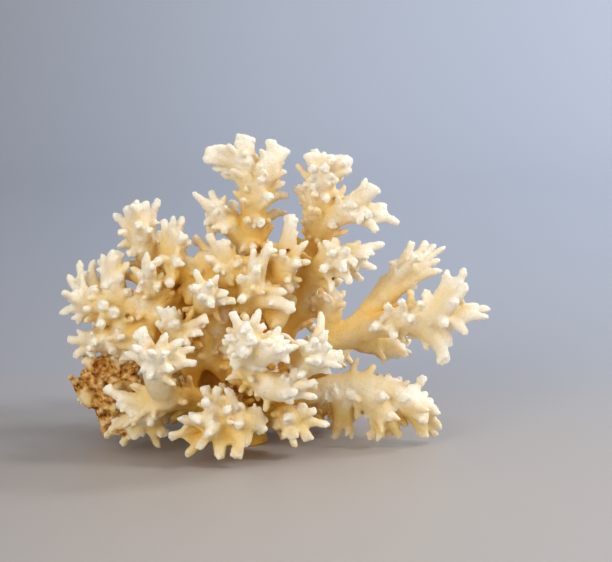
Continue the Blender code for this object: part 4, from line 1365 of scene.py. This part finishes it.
def lumps(points, kind):
    """Smooth seeded noise between -1 and 1 for a kind of lump: its size, and a shift so that no two kinds agree."""
    size, shift = kind
    places = (points + shift) / size
    base = np.floor(places).astype(int)
    part = places - base
    part = part * part * (3 - 2 * part)
    result = 0.0
    for corner in np.ndindex(2, 2, 2):
        weight = np.prod(np.where(corner, part, 1 - part), axis=1)
        result = result + weight * LATTICE[tuple(((base + corner) % LATTICE_SIZE).T)]
    return result


def clipped(start, gain, values):
    """Values that start somewhere and rise by a gain, held between 0 and 1."""
    return np.clip(start + gain * values, 0, 1)


def openness_of(field):
    """How much of its surroundings each coarse grid point sees past the branches and the floor, from 0 to 1, for
    painted shade.
    """
    stride = max(1, round(SIGHT_CELL / CELL))
    thick = np.clip(0.5 - field[::stride, ::stride, ::stride] / (stride * CELL), 0, 1)
    thick = np.pad(thick, SIGHT_PAD)
    floor_cells = int((0 - LOW[2]) / (stride * CELL)) + SIGHT_PAD
    thick[:, :, :floor_cells] = 1.0
    total = np.zeros(tuple(n - 2 * SIGHT_PAD for n in thick.shape))
    for i in range(SIGHT_RAYS):
        up = 1 - (2 * i + 1) / SIGHT_RAYS
        flat = math.sqrt(1 - up * up)
        ray = np.array([flat * math.cos(i * GOLDEN_ANGLE), flat * math.sin(i * GOLDEN_ANGLE), up])
        light = np.ones_like(total)
        for k in range(1, SIGHT_STEPS + 1):
            shift = np.round(ray * k * SIGHT_STEP).astype(int)
            part = tuple(slice(SIGHT_PAD + s, SIGHT_PAD + s + n) for s, n in zip(shift, total.shape))
            light *= 1 - SIGHT_LOSS * thick[part]
        total += light
    return total / SIGHT_RAYS, stride


def tip_nearness(tips):
    """A tip's youth at the tip itself, falling to 0 a few millimetres behind it."""
    near = np.zeros(COUNT, np.float32)
    for tip, youth in tips:
        area = window(tip - TIP_REACH, tip + TIP_REACH)
        x, y, z = grid_of(area)
        gap = np.sqrt((x - tip[0]) ** 2 + (y - tip[1]) ** 2 + (z - tip[2]) ** 2)
        near[area] = np.maximum(near[area], youth * (1 - gap / TIP_REACH))
    return near


def add_piece(name, points, quads, values):
    """One closed mesh, thinned, with a value of each kind at every point for its material."""
    mesh = bpy.data.meshes.new(name)
    mesh.from_pydata((points * MM).tolist(), [], quads.tolist())
    for label, numbers in values.items():
        mesh.attributes.new(label, "FLOAT", "POINT").data.foreach_set("value", numbers.astype(np.float32))
    piece = bpy.data.objects.new(name, mesh)
    bpy.context.collection.objects.link(piece)
    thinned = piece.modifiers.new("thinned", "DECIMATE")
    thinned.ratio = KEPT_SHARE
    graph = bpy.context.evaluated_depsgraph_get()
    piece.data = bpy.data.meshes.new_from_object(piece.evaluated_get(graph))
    piece.modifiers.clear()
    piece.data.shade_smooth()
    piece.data.name = name
    bpy.data.meshes.remove(mesh)
    return piece


def linear(hex_colour):
    """An sRGB hex colour as a linear RGBA value."""
    channels = [int(hex_colour[i : i + 2], 16) / 255 for i in (1, 3, 5)]
    return (*(c / 12.92 if c <= 0.04045 else ((c + 0.055) / 1.055) ** 2.4 for c in channels), 1.0)


def add_node(tree, kind, settings=(), links=()):
    """Adds a node, sets its properties and sockets by name, and links its inputs from (node, output) pairs."""
    node = tree.nodes.new(kind)
    for key, value in dict(settings).items():
        if isinstance(key, str) and hasattr(node, key):
            setattr(node, key, value)
        else:
            node.inputs[key].default_value = value
    for key, (source, output) in dict(links).items():
        tree.links.new(source.outputs[output], node.inputs[key])
    return node


def add_ramp(tree, stops, source):
    """Adds a colour ramp that a (node, output) pair drives."""
    node = add_node(tree, "ShaderNodeValToRGB", {}, {"Fac": source})
    elements = node.color_ramp.elements
    while len(elements) > 1:
        elements.remove(elements[-1])
    elements[0].position = stops[0][0]
    elements[0].color = linear(stops[0][1])
    for position, colour in stops[1:]:
        elements.new(position).color = linear(colour)
    return node


def add_noise(tree, place_in, size, detail):
    """Adds noise with lumps of about a size in metres."""
    return add_node(tree, "ShaderNodeTexNoise", {"Scale": 1 / size, "Detail": detail}, {"Vector": place_in})


def add_math(tree, operation, settings, links):
    return add_node(tree, "ShaderNodeMath", {"operation": operation, **settings}, links)


def add_range(tree, source, settings):
    """Adds a node that spreads a (node, output) pair from one range of values to another."""
    return add_node(tree, "ShaderNodeMapRange", settings, {"Value": source})


def add_mix(tree, settings, links):
    """Adds a mix of two colours."""
    return add_node(tree, "ShaderNodeMix", {"data_type": "RGBA", **settings}, links)


def aragonite(name, ramp_drop):
    """Coral skeleton, which grew as aragonite and bleached in the sun.

    The eye gets a chalky, slightly translucent surface with fine pores that hold painted shade, white at the tips
    and golden inside, partly from staining and partly from painted shade. What has dried on it is mottled, from
    pale ochre to brown, with near-black painted shade in the hollows and pinholes.
    """
    material = bpy.data.materials.new(name)
    material.use_nodes = True
    tree = material.node_tree
    tree.nodes.clear()
    place_in = (add_node(tree, "ShaderNodeTexCoord"), "Object")
    shade_openness = (add_node(tree, "ShaderNodeAttribute", {"attribute_name": "painted_shade_openness"}), "Fac")
    tip = (add_node(tree, "ShaderNodeAttribute", {"attribute_name": "tip"}), "Fac")
    stain_and_shade = (add_node(tree, "ShaderNodeAttribute", {"attribute_name": "stain_and_shade"}), "Fac")

    # Golden where the branches hide the skeleton, paler towards the free ends: partly its own staining, partly
    # painted shade.
    clouds = add_noise(tree, place_in, CLOUD_SIZE, detail=3.0)
    cloudy = {1: CLOUD_STRENGTH, 2: EXPOSURE_SHIFT - ramp_drop}
    shade = add_math(tree, "MULTIPLY_ADD", cloudy, {0: (clouds, "Fac")})
    young = add_math(tree, "MULTIPLY_ADD", {1: TIP_STRENGTH}, {0: tip, 2: (shade, "Value")})
    shade_and_age = add_math(tree, "ADD", {}, {0: shade_openness, 1: (young, "Value")})
    skeleton = add_ramp(tree, SKELETON_AND_SHADE_COLOURS, (shade_and_age, "Value"))
    tip_white = add_range(tree, tip, {"From Min": 0.6, "From Max": 0.97, "To Max": 0.45})
    whitened = add_mix(
        tree, {SECOND: linear(TIP_WHITE)}, {0: (tip_white, "Result"), FIRST: (skeleton, "Color")}
    )

    # Painted shade in the pores, a little darker than what stands between them.
    pores = add_node(
        tree, "ShaderNodeTexVoronoi", {"Scale": 1 / PORE_SPACING, "Randomness": 0.75}, {"Vector": place_in}
    )
    cups = add_range(tree, (pores, "Distance"), {"From Min": 0.1, "From Max": 0.42})
    cup_shade = add_ramp(tree, PORE_SHADE_COLOURS, (cups, "Result"))
    pore_shaded = add_mix(
        tree,
        {"blend_type": "MULTIPLY", 0: PORE_SHADE_STRENGTH},
        {FIRST: (whitened, MIXED), SECOND: (cup_shade, "Color")},
    )

    # The crust, with painted shade that runs it to near-black in the hollows and pinholes, where the value counts
    # for more than 1.
    specks = add_noise(tree, place_in, SPECK_SIZE, detail=3.0)
    hollow = add_range(tree, stain_and_shade, {"From Min": 1.0, "From Max": 2.0, "To Max": -0.3})
    mottle = add_math(tree, "ADD", {}, {0: (specks, "Fac"), 1: (hollow, "Result")})
    crust = add_ramp(tree, CRUST_AND_SHADE_COLOURS, (mottle, "Value"))
    stained_and_shaded = add_mix(tree, {}, {0: stain_and_shade, FIRST: (pore_shaded, MIXED), SECOND: (crust, "Color")})

    # The relief of the pores and of the grain.
    cup_relief = add_node(
        tree, "ShaderNodeBump", {"Strength": 0.55, "Distance": PORE_DEPTH}, {"Height": (cups, "Result")}
    )
    grain = add_noise(tree, place_in, GRAIN_SIZE, detail=2.0)
    relief = add_node(
        tree,
        "ShaderNodeBump",
        {"Strength": 0.5, "Distance": GRAIN_DEPTH},
        {"Height": (grain, "Fac"), "Normal": (cup_relief, "Normal")},
    )
    shader = add_node(
        tree,
        "ShaderNodeBsdfPrincipled",
        {
            "Roughness": 0.62,
            "IOR": 1.53,
            "Subsurface Weight": 0.55,
            "Subsurface Radius": (1.0, 0.72, 0.36),
            "Subsurface Scale": LIGHT_DEPTH,
        },
        {"Base Color": (stained_and_shaded, MIXED), "Normal": (relief, "Normal")},
    )
    add_node(tree, "ShaderNodeOutputMaterial", {}, {"Surface": (shader, "BSDF")})
    return material


def cover_of(points, corner, reach, cover, raggedness=0.0):
    """How thickly stain and painted shade cover each point round one place."""
    edge, gain, most = cover
    gap = np.linalg.norm((points - place(*corner)) / np.array(reach), axis=1) + raggedness
    return np.clip((edge - gap) * gain, 0, most)


def stain_and_shade_of(points, crusted):
    """How far brown dried growth covers the skeleton: all over one branch, in patches that partly are painted
    shade, and as painted shade in the pinholes and hollows.
    """
    cover = clipped(*CRUST_COVER, lumps(points, CRUST_CLOUDS)) * crusted
    edge, fray = PATCH_RAGGEDNESS
    ragged = edge * lumps(points, PATCH_EDGE) + fray * lumps(points, PATCH_FRAY)
    for corner, reach in STAIN_AND_SHADE_PATCHES:
        cover = np.maximum(cover, cover_of(points, corner, reach, PATCH_COVER, ragged))
    for corner, reach in PINHOLE_SHADES:
        cover = np.maximum(cover, cover_of(points, corner, reach, PINHOLE_SHADE_COVER))
    for *corner, radius, depth in HOLLOWS:
        cover = np.maximum(cover, cover_of(points, corner, (radius, depth, radius), HOLLOW_SHADE_COVER))
    return cover


def build_coral():
    """One closed mesh for each solid, in its place."""
    names = [name for name in STEMS if not is_lobe(name)]
    limbs, tips = all_limbs()
    growth = Growth(limbs, names)
    near_tip = tip_nearness(tips)
    shade_openness_grid, stride = openness_of(growth.field)
    slots = {part["node"]: part["material_slot"] for part in frame["record"]["subparts"]}
    materials = {
        "cream_coral": aragonite("bleached_aragonite", 0.0),
        # The buried copy is a little more golden: painted shade for the solids deep in the colony.
        "golden_coral": aragonite("shaded_buried_aragonite", SHADED_COPY_SHIFT),
        "browned_coral": aragonite("algae_stained_aragonite", BROWNED_SHIFT),
    }
    for name in names:
        area, field = growth.solid_field(name, names)
        cells, quads = surface_net(field)
        normals = slope(field, cells)
        cells = cells - normals * np.clip(sample(field, cells) / CELL, -NET_SHIFT, NET_SHIFT)[:, None]
        points = cells * CELL + [AXES[axis][area[axis].start] for axis in range(3)]
        on_grid = (points - LOW) / CELL
        young = sample(near_tip, on_grid)
        cover = stain_and_shade_of(points, name == CRUSTED_BRANCH)
        swell = BROAD_SWELL_HEIGHT * (1 - young) ** BROAD_SWELL_FADE * lumps(points, BROAD_SWELL)
        swell += SMALL_SWELL_HEIGHT * lumps(points, SMALL_SWELL)
        teeth = TOOTH_HEIGHT * clipped(*TOOTH_SHAPE, lumps(points, TIP_TEETH)) * clipped(*TOOTH_YOUTH, young)
        pits = -CRUST_PIT_DEPTH * cover * clipped(*CRUST_PIT_SHAPE, lumps(points, CRUST_PITS))
        fine = FINE_HEIGHT * lumps(points, FINE_LUMPS)
        points = points + normals * (swell + teeth + pits + fine)[:, None]
        points[:, 2] = np.maximum(points[:, 2], 0.0)
        # The skeleton's colour paints shade from how open each point is, and the crust's colour paints shade into
        # the hollows and pinholes.
        values = {
            "tip": young,
            "painted_shade_openness": sample(shade_openness_grid, (on_grid + normals * SIGHT_LIFT / CELL) / stride),
            "stain_and_shade": cover,
        }
        piece = add_piece(name + "_skeleton", points, quads, values)
        piece.data.materials.append(materials[slots[name]])
        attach(piece, "root")
        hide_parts(name)


def seamless_paper():
    """Matt seamless background paper, smooth from the mill, hung in a curve.

    The eye gets a warm white floor that passes into a pale blue-grey wall without an edge, with painted shade
    darkening it towards the left.
    """
    material = bpy.data.materials.new("matt_seamless_paper")
    material.use_nodes = True
    tree = material.node_tree
    place_in = (add_node(tree, "ShaderNodeTexCoord"), "Object")
    parts = add_node(tree, "ShaderNodeSeparateXYZ", {}, {"Vector": place_in})
    depth = add_range(tree, (parts, "Y"), {"From Min": PAPER_SPAN[0], "From Max": PAPER_SPAN[1]})
    width = add_range(tree, (parts, "X"), {"From Min": PAPER_SIDES[0], "From Max": PAPER_SIDES[1]})
    tone = add_ramp(tree, PAPER_COLOURS, (depth, "Result"))
    # Painted shade that darkens the paper towards the left.
    side = add_ramp(tree, PAPER_SIDE_SHADE_COLOURS, (width, "Result"))
    colour = add_mix(
        tree, {"blend_type": "MULTIPLY", 0: 1.0}, {FIRST: (tone, "Color"), SECOND: (side, "Color")}
    )
    shader = tree.nodes["Principled BSDF"]
    shader.inputs["Roughness"].default_value = 0.5
    tree.links.new(colour.outputs[MIXED], shader.inputs["Base Color"])
    return material


def build_stage():
    """A pale sweep: a floor that curves up into a wall well behind the colony."""
    profile = [(SWEEP_FRONT, 0.0), (SWEEP_BEND, 0.0)]
    for angle in np.linspace(SWEEP_FIRST_ANGLE, math.pi / 2, SWEEP_STEPS):
        rise = SWEEP_RADIUS - SWEEP_RADIUS * math.cos(angle)
        profile.append((SWEEP_BEND + SWEEP_RADIUS * math.sin(angle), rise))
    profile.append((SWEEP_BEND + SWEEP_RADIUS, SWEEP_TOP))
    points = [(x, y, z) for y, z in profile for x in (-SWEEP_HALF_WIDTH, SWEEP_HALF_WIDTH)]
    quads = [(2 * i, 2 * i + 1, 2 * i + 3, 2 * i + 2) for i in range(len(profile) - 1)]
    mesh = bpy.data.meshes.new("sweep")
    mesh.from_pydata(points, [], quads)
    mesh.shade_smooth()
    sweep = bpy.data.objects.new("sweep", mesh)
    bpy.context.collection.objects.link(sweep)
    mesh.materials.append(seamless_paper())


def add_light(name, place_m, aim_m, size, power, colour):
    data = bpy.data.lights.new(name, "AREA")
    data.shape = "DISK"
    data.size = size
    data.energy = power
    data.color = linear(colour)[:3]
    light = bpy.data.objects.new(name, data)
    bpy.context.collection.objects.link(light)
    light.location = place_m
    light.rotation_euler = (Vector(aim_m) - Vector(place_m)).to_track_quat("-Z", "Y").to_euler()


def light_scene():
    """Soft daylight from all round, a window at the right and paler light from the front and on the wall."""
    world = bpy.data.worlds.new("studio")
    bpy.context.scene.world = world
    world.use_nodes = True
    background = world.node_tree.nodes["Background"]
    background.inputs["Color"].default_value = linear(DAYLIGHT[0])
    background.inputs["Strength"].default_value = DAYLIGHT[1]
    for name, about in LIGHTS.items():
        add_light(name, *about)


def add_camera():
    """The camera that the branches' places were read for."""
    data = bpy.data.cameras.new("camera")
    data.sensor_width = SENSOR_WIDTH_MM
    data.lens = data.sensor_width * VIEW_DISTANCE / (PHOTO_SIZE_PX[0] * MM_PER_PX)
    camera = bpy.data.objects.new("camera", data)
    bpy.context.collection.objects.link(camera)
    camera.location = Vector(EYE) * MM
    camera.rotation_euler = Vector(FORWARD).to_track_quat("-Z", "Y").to_euler()
    bpy.context.scene.camera = camera


build_coral()
build_stage()
light_scene()
add_camera()
bpy.context.scene.view_settings.view_transform = "Standard"
